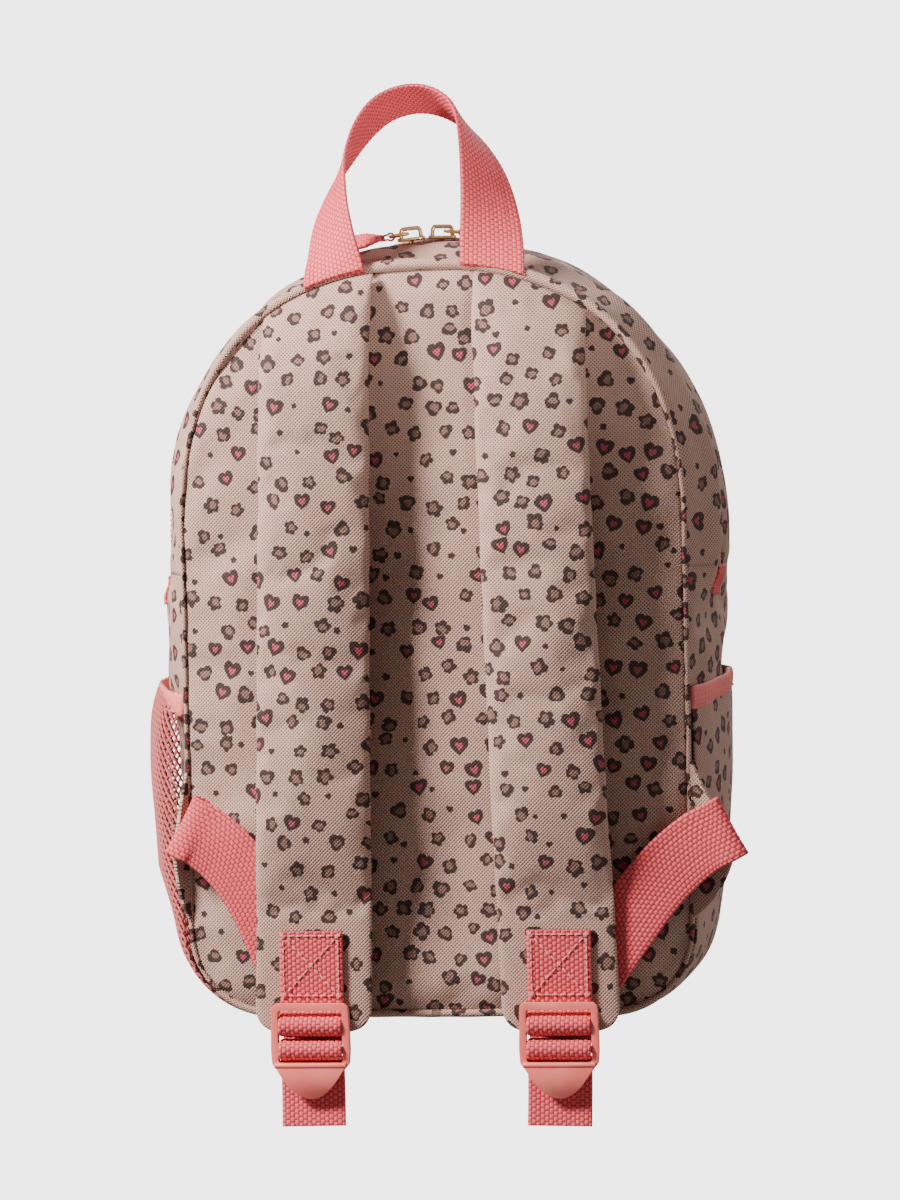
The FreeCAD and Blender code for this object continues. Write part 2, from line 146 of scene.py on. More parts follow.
def makePrintCloth(name, shade=1.0):
    n = Nodes(name)
    uv = n.uv()
    x, y, _ = n.split(uv)
    # plain weave: gaps in staggered rows, which take painted shade below
    turn = 2 * math.pi / printCloth["weavePitch"]
    over = n.math("MULTIPLY", n.math("SINE", n.math("MULTIPLY", x, turn)), n.math("SINE", n.math("MULTIPLY", y, turn)))
    weave = n.math("ADD", n.math("MULTIPLY", over, 0.5), 0.5)
    # one motif in each cell of a staggered lattice
    rise = 0.866 * printCloth["spacing"]
    latticeY = n.math("DIVIDE", y, rise)
    latticeX = n.math("SUBTRACT", n.math("DIVIDE", x, printCloth["spacing"]), n.math("MULTIPLY", latticeY, 0.5))
    lattice = n.add("ShaderNodeCombineXYZ", {0: latticeX, 1: latticeY}).outputs[0]
    cells = n.add("ShaderNodeTexVoronoi", {"Vector": lattice, "Scale": 1.0, "Randomness": 0.5},
                  voronoi_dimensions="2D", feature="F1")
    pick, kind, angle = n.add("ShaderNodeSeparateColor", {0: cells.outputs["Color"]}).outputs[:3]
    cellX, cellY, _ = n.split(cells.outputs["Position"])
    centreX = n.math("MULTIPLY", n.math("ADD", cellX, n.math("MULTIPLY", cellY, 0.5)), printCloth["spacing"])
    centreY = n.math("MULTIPLY", cellY, rise)
    small = n.math("LESS_THAN", pick, 0.2)
    mixed = n.math("FRACT", n.math("ADD", n.math("MULTIPLY", kind, 5.0), n.math("MULTIPLY", angle, 9.0)))
    isHeart = n.math("LESS_THAN", mixed, 0.32)
    isSpot = n.math("SUBTRACT", 1.0, isHeart)
    vary = n.math("FRACT", n.math("MULTIPLY", pick, 13.0))
    size = n.math("ADD", printCloth["motif"], n.math("MULTIPLY", small, printCloth["dot"] - printCloth["motif"]))
    size = n.math("MULTIPLY", size, n.math("ADD", 0.86, n.math("MULTIPLY", vary, 0.26)))
    local = n.add("ShaderNodeCombineXYZ", {0: n.math("SUBTRACT", x, centreX), 1: n.math("SUBTRACT", y, centreY)}).outputs[0]
    tilt = n.math("MULTIPLY", n.math("SUBTRACT", angle, 0.5), n.math("ADD", 0.9, n.math("MULTIPLY", isSpot, 5.0)))
    spin = n.add("ShaderNodeVectorRotate", {"Vector": local, "Angle": tilt}, rotation_type="Z_AXIS").outputs[0]
    px, py, _ = n.split(spin)
    px, py = n.math("DIVIDE", px, size), n.math("DIVIDE", py, size)
    rough = n.math("SUBTRACT", n.noise(uv, 430, 1.0), 0.5)
    # heart: a circle whose middle is pulled down
    lift = n.math("MULTIPLY", n.math("SQRT", n.math("ABSOLUTE", px)), 0.62)
    hx = n.math("MULTIPLY", px, 0.94)
    hy = n.math("ADD", n.math("SUBTRACT", n.math("MULTIPLY", py, 1.08), lift), 0.2)
    heart = n.math("SQRT", n.math("ADD", n.math("MULTIPLY", hx, hx), n.math("MULTIPLY", hy, hy)))
    heart = n.math("ADD", heart, n.math("MULTIPLY", rough, 0.3))
    # rosette: three to five round lobes about an off-centre fill
    stretch = n.math("ADD", 0.86, n.math("MULTIPLY", n.math("FRACT", n.math("MULTIPLY", kind, 11.0)), 0.34))
    rx = n.math("MULTIPLY", px, stretch)
    radius = n.math("SQRT", n.math("ADD", n.math("MULTIPLY", rx, rx), n.math("MULTIPLY", py, py)))
    lobes = n.math("ADD", 3.0, n.math("FLOOR", n.math("MULTIPLY", n.math("FRACT", n.math("MULTIPLY", pick, 7.0)), 2.99)))
    wave = n.math("ABSOLUTE", n.math("COSINE", n.math("MULTIPLY", n.math("MULTIPLY", n.math("ARCTAN2", py, rx), 0.5), lobes)))
    reach = n.math("ADD", 0.7, n.math("MULTIPLY", n.math("POWER", wave, 0.8), 0.31))
    rosette = n.math("ADD", n.math("DIVIDE", radius, reach), n.math("MULTIPLY", rough, 0.45))
    fillX, fillY = n.math("SUBTRACT", rx, 0.14), n.math("MULTIPLY", py, 0.8)
    fillAt = n.math("SQRT", n.math("ADD", n.math("MULTIPLY", fillX, fillX), n.math("MULTIPLY", fillY, fillY)))
    fillAt = n.math("ADD", fillAt, n.math("MULTIPLY", rough, 0.7))
    shape = n.math("ADD", n.math("MULTIPLY", heart, isHeart), n.math("MULTIPLY", rosette, isSpot))
    middle = n.math("ADD", n.math("MULTIPLY", n.math("MULTIPLY", heart, 0.92), isHeart), n.math("MULTIPLY", fillAt, isSpot))
    inside = n.math("SUBTRACT", 1.0, n.step(shape, 0.92, 1.0))
    rim = n.math("SUBTRACT", 0.4, n.math("MULTIPLY", isHeart, 0.03))
    core = n.math("SUBTRACT", 1.0, n.step(n.math("SUBTRACT", middle, rim), -0.06, 0.05))
    core = n.math("MULTIPLY", core, n.math("SUBTRACT", 1.0, small))
    cloudy = n.span(n.noise(uv, 22, 3.0), 0.93, 1.05)
    ground = n.mix(1.0, srgb(*[c * shade for c in printCloth["ground"]]),
                   n.add("ShaderNodeCombineColor", {0: cloudy, 1: cloudy, 2: cloudy}).outputs[0], "MULTIPLY")
    fill = n.mix(isHeart, srgb(*printCloth["spotFill"]), srgb(*printCloth["heartFill"]))
    colour = n.mix(n.math("MULTIPLY", inside, 0.96), ground, srgb(*printCloth["outline"]))
    colour = n.mix(core, colour, fill)
    # painted shade darkens the gaps between the yarns, over ground and ink alike
    gap = n.step(weave, 0.46, 0.14)
    colour = n.mix(n.math("MULTIPLY", gap, 0.84), colour, srgb(*printCloth["yarnGapShade"]))
    crown = n.math("MULTIPLY", n.step(weave, 0.6, 0.95), n.math("MULTIPLY", inside, 0.09))
    colour = n.mix(crown, colour, srgb(*printCloth["ground"]))
    normal = n.bump(weave, 0.0003, 0.8)
    return n.finish(Base_Color=colour, Roughness=n.span(n.noise(uv, 300), 0.62, 0.78), Normal=normal,
                    Sheen_Weight=0.03, Sheen_Roughness=0.4, Specular_IOR_Level=0.22)


# the gap colour is painted shade for the low places between the woven beads
webbingLook = {"yarn": (244, 84, 92), "gap": (116, 26, 36), "column": 1.7, "row": 2.15, "depth": 0.32}


def makeWebbing(name, yarn=None, gap=None):
    n = Nodes(name)
    uv = n.uv()
    x, y, _ = n.split(uv)
    column = n.math("DIVIDE", x, webbingLook["column"] / 1000)
    odd = n.math("MULTIPLY", n.math("MODULO", n.math("FLOOR", column), 2.0), 0.5)
    row = n.math("ADD", n.math("DIVIDE", y, webbingLook["row"] / 1000), odd)
    across = n.math("ABSOLUTE", n.math("SINE", n.math("MULTIPLY", column, math.pi)))
    along = n.math("ABSOLUTE", n.math("SINE", n.math("MULTIPLY", row, math.pi)))
    bead = n.math("MULTIPLY", n.math("POWER", across, 0.5), n.math("POWER", along, 0.6))
    fibres = n.noise(n.add("ShaderNodeVectorMath", {0: uv, 1: (1, 4, 1)}, operation="MULTIPLY").outputs[0], 2600)
    # painted shade: the gap colour fills the low places between the beads
    colour = n.mix(n.step(bead, 0.05, 0.75), srgb(*(gap or webbingLook["gap"])), srgb(*(yarn or webbingLook["yarn"])))
    colour = n.mix(n.span(fibres, 0.0, 0.12), colour, srgb(250, 150, 148))
    colour = n.mix(n.span(n.noise(uv, 60, 2.0), 0.0, 0.16), colour, srgb(212, 82, 88))
    height = n.math("ADD", bead, n.math("MULTIPLY", fibres, 0.25))
    return n.finish(Base_Color=colour, Roughness=n.span(fibres, 0.55, 0.8), Normal=n.bump(height, 0.0003, 0.7),
                    Sheen_Weight=0.05, Sheen_Roughness=0.35, Specular_IOR_Level=0.25)


def makeElastic(name):
    """Ribbed elastic: fine ribs across its length and a soft wave where it gathers. Painted shade darkens the grooves
    between the ribs.
    """
    n = Nodes(name)
    uv = n.uv()
    x, y, _ = n.split(uv)
    ribs = n.math("ABSOLUTE", n.math("SINE", n.math("MULTIPLY", x, math.pi / 0.0009)))
    lines = n.math("ABSOLUTE", n.math("SINE", n.math("MULTIPLY", y, math.pi / 0.0014)))
    height = n.math("ADD", n.math("MULTIPLY", ribs, 0.7), n.math("MULTIPLY", lines, 0.3))
    # painted shade: the low places between the ribs take the darker colour
    colour = n.mix(n.step(height, 0.1, 0.8), srgb(216, 92, 90), srgb(252, 128, 122))
    colour = n.mix(n.span(n.noise(uv, 90), 0.0, 0.25), colour, srgb(236, 110, 106))
    return n.finish(Base_Color=colour, Roughness=n.span(n.noise(uv, 900), 0.5, 0.7),
                    Normal=n.bump(height, 0.00018, 0.7), Sheen_Weight=0.06)


def makePlastic(name, colour, worn):
    """Moulded plastic with a faint texture and slightly paler, handled patches."""
    n = Nodes(name)
    where = n.object()
    grain = n.noise(where, 2400, 3.0)
    haze = n.noise(where, 90, 2.0)
    shade = n.mix(n.step(haze, 0.4, 0.75), srgb(*colour), srgb(*worn))
    return n.finish(Base_Color=shade, Roughness=n.span(grain, 0.3, 0.46), Normal=n.bump(grain, 0.00003, 0.5),
                    Specular_IOR_Level=0.5, Subsurface_Weight=0.05, Subsurface_Scale=0.002)


def makeGold(name):
    n = Nodes(name)
    where = n.object()
    scratches = n.noise(n.add("ShaderNodeVectorMath", {0: where, 1: (1, 6, 2)}, operation="MULTIPLY").outputs[0], 1800)
    patches = n.noise(where, 260, 2.0)
    colour = n.mix(n.step(patches, 0.35, 0.8), srgb(240, 206, 146), srgb(214, 172, 110))
    return n.finish(Base_Color=colour, Metallic=1.0, Roughness=n.span(scratches, 0.22, 0.42),
                    Normal=n.bump(scratches, 0.00001, 0.4))


def makePlainCloth(name, light, dark, pitch=0.0007):
    """A plain weave: lining, net yarn, zip tape and thread. Its dark colour is painted shade between the yarns."""
    n = Nodes(name)
    where = n.object()
    x, y, z = n.split(where)
    turn = math.pi / pitch
    height = n.math("MULTIPLY", n.math("SINE", n.math("MULTIPLY", n.math("ADD", x, y), turn)),
                    n.math("SINE", n.math("MULTIPLY", z, turn)))
    height = n.math("ABSOLUTE", height)
    # painted shade: the low places between the yarns take the dark colour
    colour = n.mix(n.step(height, 0.1, 0.8), srgb(*dark), srgb(*light))
    colour = n.mix(n.span(n.noise(where, 40, 3.0), 0.0, 0.3), colour, srgb(*[(a + b) / 2 for a, b in zip(light, dark)]))
    return n.finish(Base_Color=colour, Roughness=n.span(n.noise(where, 700), 0.6, 0.85),
                    Normal=n.bump(height, 0.00015, 0.6), Sheen_Weight=0.15)


def makeFoam(name):
    n = Nodes(name)
    where = n.object()
    cells = n.add("ShaderNodeTexVoronoi", {"Vector": where, "Scale": 900.0}).outputs["Distance"]
    # painted shade: the darker colour fills the pore hollows at the cells' centres
    colour = n.mix(n.step(cells, 0.1, 0.6), srgb(206, 196, 180), srgb(238, 232, 220))
    return n.finish(Base_Color=colour, Roughness=n.span(n.noise(where, 500), 0.85, 0.95),
                    Normal=n.bump(cells, 0.0002, 0.6))


materials = {
    "print": makePrintCloth("printCloth"),
    "webbing": makeWebbing("webbing"),
    "elastic": makeElastic("elastic"),
    "plastic": makePlastic("salmonPlastic", (248, 112, 100), (252, 128, 116)),
    "teeth": makePlastic("teethPlastic", (226, 118, 116), (236, 138, 134)),
    "gold": makeGold("palegold"),
    "lining": makePlainCloth("lining", (206, 168, 160), (150, 112, 106)),
    "tape": makePlainCloth("zipTape", (222, 116, 118), (160, 72, 76), 0.0005),
    "net": makePlainCloth("netYarn", (218, 108, 102), (164, 66, 64), 0.0004),
    "thread": makePlainCloth("thread", (250, 190, 190), (226, 140, 144), 0.0003),
    "foam": makeFoam("foam"),
    "board": makePlastic("board", (96, 90, 88), (110, 104, 100)),
}
print("materials made")


# ---- Mesh helpers ----

def newObject(name, points, faces, material, uvs=None, inMm=True):
    """points in millimetres; uvs one per point, in millimetres along the cloth."""
    mesh = bpy.data.meshes.new(name)
    mesh.from_pydata((place(points) if inMm else np.asarray(points)).tolist(), [], [tuple(f) for f in faces])
    if uvs is not None:
        layer = mesh.uv_layers.new(name="cloth")
        loops = np.zeros(len(mesh.loops), int)
        mesh.loops.foreach_get("vertex_index", loops)
        layer.data.foreach_set("uv", (np.asarray(uvs, float)[loops] / 1000).ravel())
    obj = bpy.data.objects.new(name, mesh)
    bpy.context.collection.objects.link(obj)
    mesh.materials.append(materials[material])
    mesh.shade_smooth()
    return obj


def gridFaces(rows, columns, flip=False, closed=False):
    """Faces of a grid whose points run along each row in turn."""
    faces = []
    for r in range(rows - 1):
        for c in range(columns if closed else columns - 1):
            d = (c + 1) % columns
            face = (r * columns + c, r * columns + d, (r + 1) * columns + d, (r + 1) * columns + c)
            faces.append(face[::-1] if flip else face)
    return faces


def gridPiece(name, points, uvs, material, outward):
    """A sheet from a rows by columns array of points. outward is a point inside the bag, or a direction as a tuple."""
    points = np.asarray(points, float)
    rows, columns = points.shape[:2]
    r, c = rows // 2, columns // 2
    normal = np.cross(points[r, min(c + 1, columns - 1)] - points[r, c - 1],
                      points[min(r + 1, rows - 1), c] - points[r - 1, c])
    way = np.asarray(outward) if isinstance(outward, tuple) else points[r, c] - outward
    flip = np.dot(normal, way) < 0
    return newObject(name, points.reshape(-1, 3), gridFaces(rows, columns, flip), material,
                     np.asarray(uvs, float).reshape(-1, 2))


def applied(obj):
    """Makes the modifiers part of the mesh."""
    bpy.context.view_layer.update()
    graph = bpy.context.evaluated_depsgraph_get()
    mesh = bpy.data.meshes.new_from_object(obj.evaluated_get(graph), preserve_all_data_layers=True, depsgraph=graph)
    obj.modifiers.clear()
    obj.data = mesh
    mesh.shade_smooth()
    return obj


def subdivide(obj, levels):
    modifier = obj.modifiers.new("smooth", "SUBSURF")
    modifier.levels = modifier.render_levels = levels
    modifier.boundary_smooth = "PRESERVE_CORNERS"
    return obj


def thicken(obj, mm, inner="lining"):
    """Gives a sheet its thickness inwards, with another material inside."""
    modifier = obj.modifiers.new("thickness", "SOLIDIFY")
    modifier.thickness = mm / 1000
    modifier.offset = -1
    modifier.use_even_offset = False
    if inner:
        obj.data.materials.append(materials[inner])
        modifier.material_offset = 1
    return obj


def bevel(obj, mm, segments=2, angle=35):
    modifier = obj.modifiers.new("edges", "BEVEL")
    modifier.width = mm / 1000
    modifier.segments = segments
    modifier.limit_method = "ANGLE"
    modifier.angle_limit = math.radians(angle)
    return obj


def inflate(name, points, faces, pin, pressure, grow, cap, frames=20, mass=0.12, stiff=12, bend=0.3):
    """Cloth simulation of a closed mesh with air inside. pin is 1 where a point is sewn down. Returns the new points."""
    points = np.asarray(points, float)
    obj = newObject(name, points, faces, "print")
    group = obj.vertex_groups.new(name="sewn")
    for i, weight in enumerate(pin):
        if weight > 0:
            group.add([i], float(weight), "REPLACE")
    modifier = obj.modifiers.new("cloth", "CLOTH")
    cloth = modifier.settings
    cloth.quality = 6
    cloth.mass = mass
    cloth.tension_stiffness = cloth.compression_stiffness = stiff
    cloth.shear_stiffness = stiff * 0.4
    cloth.bending_stiffness = bend
    cloth.vertex_group_mass = "sewn"
    cloth.pin_stiffness = 1.0
    cloth.shrink_min = -grow
    cloth.use_pressure = True
    cloth.uniform_pressure_force = pressure
    cloth.effector_weights.gravity = 0
    modifier.collision_settings.use_collision = False
    modifier.point_cache.frame_start = 1
    modifier.point_cache.frame_end = frames
    scene = bpy.context.scene
    for f in range(1, frames + 1):
        scene.frame_set(f)
    graph = bpy.context.evaluated_depsgraph_get()
    mesh = obj.evaluated_get(graph).data
    moved = np.zeros(len(points) * 3)
    mesh.vertices.foreach_get("co", moved)
    moved = moved.reshape(-1, 3) * 1000 + originMm
    step = moved - points
    length = np.linalg.norm(step, axis=1)
    factor = np.where(length > cap, cap / np.maximum(length, 1e-9), 1.0)
    bpy.data.objects.remove(obj, do_unlink=True)
    scene.frame_set(1)
    print(f"{name}: cloth moved up to {length.max():.1f} mm, mean {length.mean():.2f} mm")
    return points + step * factor[:, None]


noise.seed_set(5)          # otherwise noise_vector differs from run to run


def wobble(points, size, amount, seed):
    """Slow, smooth unevenness, as in hand-sewn cloth."""
    points = np.asarray(points, float)
    out = points.copy().reshape(-1, 3)
    for i, p in enumerate(out):
        v = noise.noise_vector(Vector(p / size) + Vector((seed, seed * 0.37, 0)))
        out[i] = p + np.array(v) * amount
    return out.reshape(points.shape)


# ---- Geometry Nodes ----

def repeatTree():
    """Sets one small piece along every edge path of the mesh, at a set spacing, upright on the 'out' attribute."""
    tree = bpy.data.node_groups.new("repeatAlong", "GeometryNodeTree")
    face = tree.interface
    face.new_socket("Geometry", in_out="INPUT", socket_type="NodeSocketGeometry")
    face.new_socket("Piece", in_out="INPUT", socket_type="NodeSocketObject")
    face.new_socket("Spacing", in_out="INPUT", socket_type="NodeSocketFloat")
    face.new_socket("Material", in_out="INPUT", socket_type="NodeSocketMaterial")
    face.new_socket("Geometry", in_out="OUTPUT", socket_type="NodeSocketGeometry")
    new, link = tree.nodes.new, tree.links.new
    inlet, outlet = new("NodeGroupInput"), new("NodeGroupOutput")
    curve, resample = new("GeometryNodeMeshToCurve"), new("GeometryNodeResampleCurve")
    resample.mode = "LENGTH"
    out = new("GeometryNodeInputNamedAttribute")
    out.data_type = "FLOAT_VECTOR"
    out.inputs["Name"].default_value = "out"
    tangent = new("GeometryNodeInputTangent")
    first, second = new("FunctionNodeAlignRotationToVector"), new("FunctionNodeAlignRotationToVector")
    first.axis, second.axis, second.pivot_axis = "X", "Z", "X"
    info, scatter = new("GeometryNodeObjectInfo"), new("GeometryNodeInstanceOnPoints")
    real, paint = new("GeometryNodeRealizeInstances"), new("GeometryNodeSetMaterial")
    link(inlet.outputs["Geometry"], curve.inputs["Mesh"])
    link(curve.outputs[0], resample.inputs["Curve"])
    link(inlet.outputs["Spacing"], resample.inputs["Length"])
    link(resample.outputs[0], scatter.inputs["Points"])
    link(tangent.outputs[0], first.inputs["Vector"])
    link(first.outputs[0], second.inputs["Rotation"])
    link(out.outputs["Attribute"], second.inputs["Vector"])
    link(second.outputs[0], scatter.inputs["Rotation"])
    link(inlet.outputs["Piece"], info.inputs["Object"])
    link(info.outputs["Geometry"], scatter.inputs["Instance"])
    link(scatter.outputs[0], real.inputs[0])
    link(real.outputs[0], paint.inputs["Geometry"])
    link(inlet.outputs["Material"], paint.inputs["Material"])
    link(paint.outputs[0], outlet.inputs["Geometry"])
    return tree


def netTree():
    """Turns every edge of the mesh into a yarn."""
    tree = bpy.data.node_groups.new("yarnNet", "GeometryNodeTree")
    face = tree.interface
    face.new_socket("Geometry", in_out="INPUT", socket_type="NodeSocketGeometry")
    face.new_socket("Radius", in_out="INPUT", socket_type="NodeSocketFloat")
    face.new_socket("Sides", in_out="INPUT", socket_type="NodeSocketInt")
    face.new_socket("Material", in_out="INPUT", socket_type="NodeSocketMaterial")
    face.new_socket("Geometry", in_out="OUTPUT", socket_type="NodeSocketGeometry")
    new, link = tree.nodes.new, tree.links.new
    inlet, outlet = new("NodeGroupInput"), new("NodeGroupOutput")
    curve, ring, sweep = new("GeometryNodeMeshToCurve"), new("GeometryNodeCurvePrimitiveCircle"), new("GeometryNodeCurveToMesh")
    paint, real = new("GeometryNodeSetMaterial"), new("GeometryNodeRealizeInstances")
    link(inlet.outputs["Geometry"], curve.inputs["Mesh"])
    link(inlet.outputs["Sides"], ring.inputs["Resolution"])
    link(inlet.outputs["Radius"], ring.inputs["Radius"])
    link(curve.outputs[0], sweep.inputs["Curve"])
    link(ring.outputs[0], sweep.inputs["Profile Curve"])
    sweep.inputs["Fill Caps"].default_value = True
    link(sweep.outputs[0], real.inputs[0])
    link(real.outputs[0], paint.inputs["Geometry"])
    link(inlet.outputs["Material"], paint.inputs["Material"])
    link(paint.outputs[0], outlet.inputs["Geometry"])
    return tree


repeatAlong, yarnNet = repeatTree(), netTree()


def runTree(obj, tree, **values):
    modifier = obj.modifiers.new("nodes", "NODES")
    modifier.node_group = tree
    for item in tree.interface.items_tree:
        if item.in_out == "INPUT" and item.name in values:
            modifier[item.identifier] = values[item.name]
    return applied(obj)


def pathObject(name, paths):
    """paths: each (points in mm, outward directions), as edges with the 'out' attribute."""
    points, edges, outs = [], [], []
    for path, out in paths:
        start = len(points)
        points += [tuple(p) for p in path]
        outs += [tuple(o) for o in out]
        edges += [(start + i, start + i + 1) for i in range(len(path) - 1)]
    mesh = bpy.data.meshes.new(name)
    mesh.from_pydata(place(points).tolist(), edges, [])
    attribute = mesh.attributes.new("out", "FLOAT_VECTOR", "POINT")
    attribute.data.foreach_set("vector", np.asarray(outs, float).ravel())
    obj = bpy.data.objects.new(name, mesh)
    bpy.context.collection.objects.link(obj)
    return obj


def smallPiece(name, length, width, height, taper=0.75):
    """A rounded grain along X, a few dozen faces, in mm about the origin: a stitch or a zip tooth."""
    mesh = bpy.data.meshes.new(name)
    b = bmesh.new()
    bmesh.ops.create_cube(b, size=1)
    bmesh.ops.bevel(b, geom=list(b.edges), offset=0.22, segments=1, affect="EDGES")
    for v in b.verts:
        s = 1 - (1 - taper) * abs(v.co.x) * 2
        v.co = Vector((v.co.x * length, v.co.y * width * s, v.co.z * height * s)) / 1000
    b.to_mesh(mesh)
    b.free()
    mesh.shade_smooth()
    return bpy.data.objects.new(name, mesh)     # not linked: only the trees use it


stitch = {"length": 2.3, "spacing": 2.9, "width": 0.55, "height": 0.4}
stitchGrain = smallPiece("stitchGrain", stitch["length"], stitch["width"], stitch["height"])


def stitches(name, paths):
    return runTree(pathObject(name, paths), repeatAlong, Piece=stitchGrain, Spacing=stitch["spacing"] / 1000,
                   Material=materials["thread"])


def finishPiece(obj, body, nodes=()):
    """Rides on a body and stands for CAD nodes, which it hides."""
    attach(obj, body)
    if nodes:
        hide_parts(*nodes)
    return obj


sides = (("left", -1), ("right", 1))


def mirrored(points, side):
    out = np.array(points, float)
    out[..., 0] *= side
    return out


# ---- The body: one closed skin, filled by simulation, then cut into its panels ----

bag = {"halfWidth": 98.0, "archHeight": 192.0, "depth": 105.0, "corner": 32.0, "bulge": 12.0, "zipY": 34.0,
       "slit": 5.0, "fold": 172.0, "across": 36, "up": 52, "skin": 1.2, "shoulder": 4.5, "crest": 1.8, "ridge": 3.6, "fuller": 4.5, "slack": 5.0}
flat = bag["halfWidth"] - bag["corner"]
cornerArc = bag["corner"] * math.pi / 2
sideRun = bag["archHeight"] - bag["corner"]
archArc = bag["halfWidth"] * math.pi
outlineLength = 2 * (flat + cornerArc + sideRun) + archArc


def outlineAt(d):
    """Point (x, z) and outward normal at distance d along the seam, from the middle of the base to the right."""
    d = d % outlineLength
    if d > outlineLength / 2:
        (x, z), (nx, nz) = outlineAt(outlineLength - d)
        return (-x, z), (-nx, nz)
    if d < flat:
        return (d, 0), (0, -1)
    d -= flat
    if d < cornerArc:
        a = d / bag["corner"] - math.pi / 2
        return (flat + bag["corner"] * math.cos(a), bag["corner"] * (1 + math.sin(a))), (math.cos(a), math.sin(a))
    d -= cornerArc
    if d < sideRun:
        return (bag["halfWidth"], bag["corner"] + d), (1, 0)
    a = (d - sideRun) / bag["halfWidth"]
    return ((bag["halfWidth"] * math.cos(a), bag["archHeight"] + bag["halfWidth"] * math.sin(a)),
            (math.cos(a), math.sin(a)))


across, up = bag["across"], bag["up"]
cornerA = flat + cornerArc / 2
cornerB = flat + cornerArc + sideRun + bag["halfWidth"] * math.pi / 4
foldD = flat + cornerArc + bag["fold"] - bag["corner"]
ringD = [-cornerA + 2 * cornerA * i / across for i in range(across)]
ringD += [cornerA + (cornerB - cornerA) * j / up for j in range(up)]
ringD += [cornerB + (outlineLength - 2 * cornerB) * i / across for i in range(across)]
ringD += [outlineLength - cornerB + (cornerB - cornerA) * j / up for j in range(up)]
ringD = np.array(ringD)
foldRight = int(np.argmin(abs(ringD - foldD)))
foldLeft = int(np.argmin(abs(ringD - (outlineLength - foldD))))
ringD[foldRight], ringD[foldLeft] = foldD, outlineLength - foldD
ringCount = len(ringD)
ringXZ = np.array([outlineAt(d)[0] for d in ringD])
ringNormal = np.array([outlineAt(d)[1] for d in ringD])


def shoulderAt(x, z, y):
    """How far the seams stand outside a half circle on the shoulders, nothing where the zip runs."""
    if z <= bag["archHeight"]:
        return 0.0
    a = math.atan2(z - bag["archHeight"], abs(x))
    return bag["shoulder"] * math.sin(2 * a) ** 2 * max(0.0, 1 - y / 26, 0.25 * (y - 60) / 45)


def hangAt(x, z, y):
    # a crest between the back seam and the zip, higher on the right, where it hides the zip
    start = 190 if x < 0 else 150
    crest = bag["crest"] + bag["ridge"] * min(1.0, max(0.0, (x - 25) / 35))
    off = crest * math.exp(-((y - 21) / 6) ** 2) * min(1.0, max(0.0, (z - start) / 40))
    # the left side hangs fuller above the net pocket, the right shoulder slacker in front of the zip
    if x < 0:
        off += bag["fuller"] * math.exp(-((z - 132) / 36) ** 2) * math.sin(math.pi * y / bag["depth"])
    elif y > 48:
        off -= bag["slack"] * math.exp(-((z - 230) / 26) ** 2) * math.sin(math.pi * (y - 48) / (bag["depth"] - 48))
    return off


def seamTop(x):
    """Height of the back seam over a place x across the arch."""
    power, reach = 2.3, bag["halfWidth"] + 0.3
    return bag["archHeight"] + reach * (1 - min(0.99, abs(x) / reach) ** power) ** (1 / power)


def sideRadius(y, bulge):
    """How far the skin stands off the seam line at depth y, for a bulge at mid depth."""
    half = bag["depth"] / 2
    curve = (half * half + bulge * bulge) / (2 * bulge)
    return math.sqrt(curve * curve - (y - half) ** 2) - (curve - bulge)


def bulgeAt(z):
    share = (z - bag["corner"]) / (bag["fold"] - bag["corner"])
    return 1.2 + (bag["bulge"] - 1.2) * min(1.0, max(0.0, share))


depthRows = [0, 5, 10, 15, 20, 25, 29, 34, 39, 44, 49, 54, 59, 64, 69, 74, 79, 84, 89, 94, 99.5, 105]
slitRows = (depthRows.index(29), depthRows.index(39))
ringRows = []
for y in depthRows:
    row = []
    for (x, z), (nx, nz) in zip(ringXZ, ringNormal):
        off = sideRadius(y, bulgeAt(z)) + bag["skin"] * min(1, y / 4, (bag["depth"] - y) / 4) + shoulderAt(x, z, y)
        off += hangAt(x, z, y)
        row.append((x + nx * off, y, z + nz * off))
    ringRows.append(row)
ringRows = np.array(ringRows)


def panelGrid(y):
    """Rows up, columns across, blended from the seam on all four sides."""
    shifted = [p + q * shoulderAt(p[0], p[1], y) for p, q in zip(ringXZ, ringNormal)]

    def ring(k):
        return shifted[k % ringCount]
    grid = np.zeros((up + 1, across + 1, 3))
    for j in range(up + 1):
        for i in range(across + 1):
            u, v = i / across, j / up
            bottom, top = ring(i), ring(2 * across + up - i)
            left, right = ring(2 * across + 2 * up - j), ring(across + j)
            corners = ((1 - u) * (1 - v) * ring(0) + u * (1 - v) * ring(across)
                       + u * v * ring(across + up) + (1 - u) * v * ring(2 * across + up))
            p = (1 - v) * bottom + v * top + (1 - u) * left + u * right - corners
            grid[j, i] = (p[0], y, p[1])
    return grid


def panelIndex(j, i, seamRow, start):
    """Index in the body of a panel's point: on the seam it is a ring point."""
    if j == 0:
        return seamRow * ringCount + i % ringCount
    if i == across:
        return seamRow * ringCount + across + j
    if j == up:
        return seamRow * ringCount + 2 * across + up - i
    if i == 0:
        return seamRow * ringCount + (2 * across + 2 * up - j) % ringCount
    return start + (j - 1) * (across - 1) + i - 1


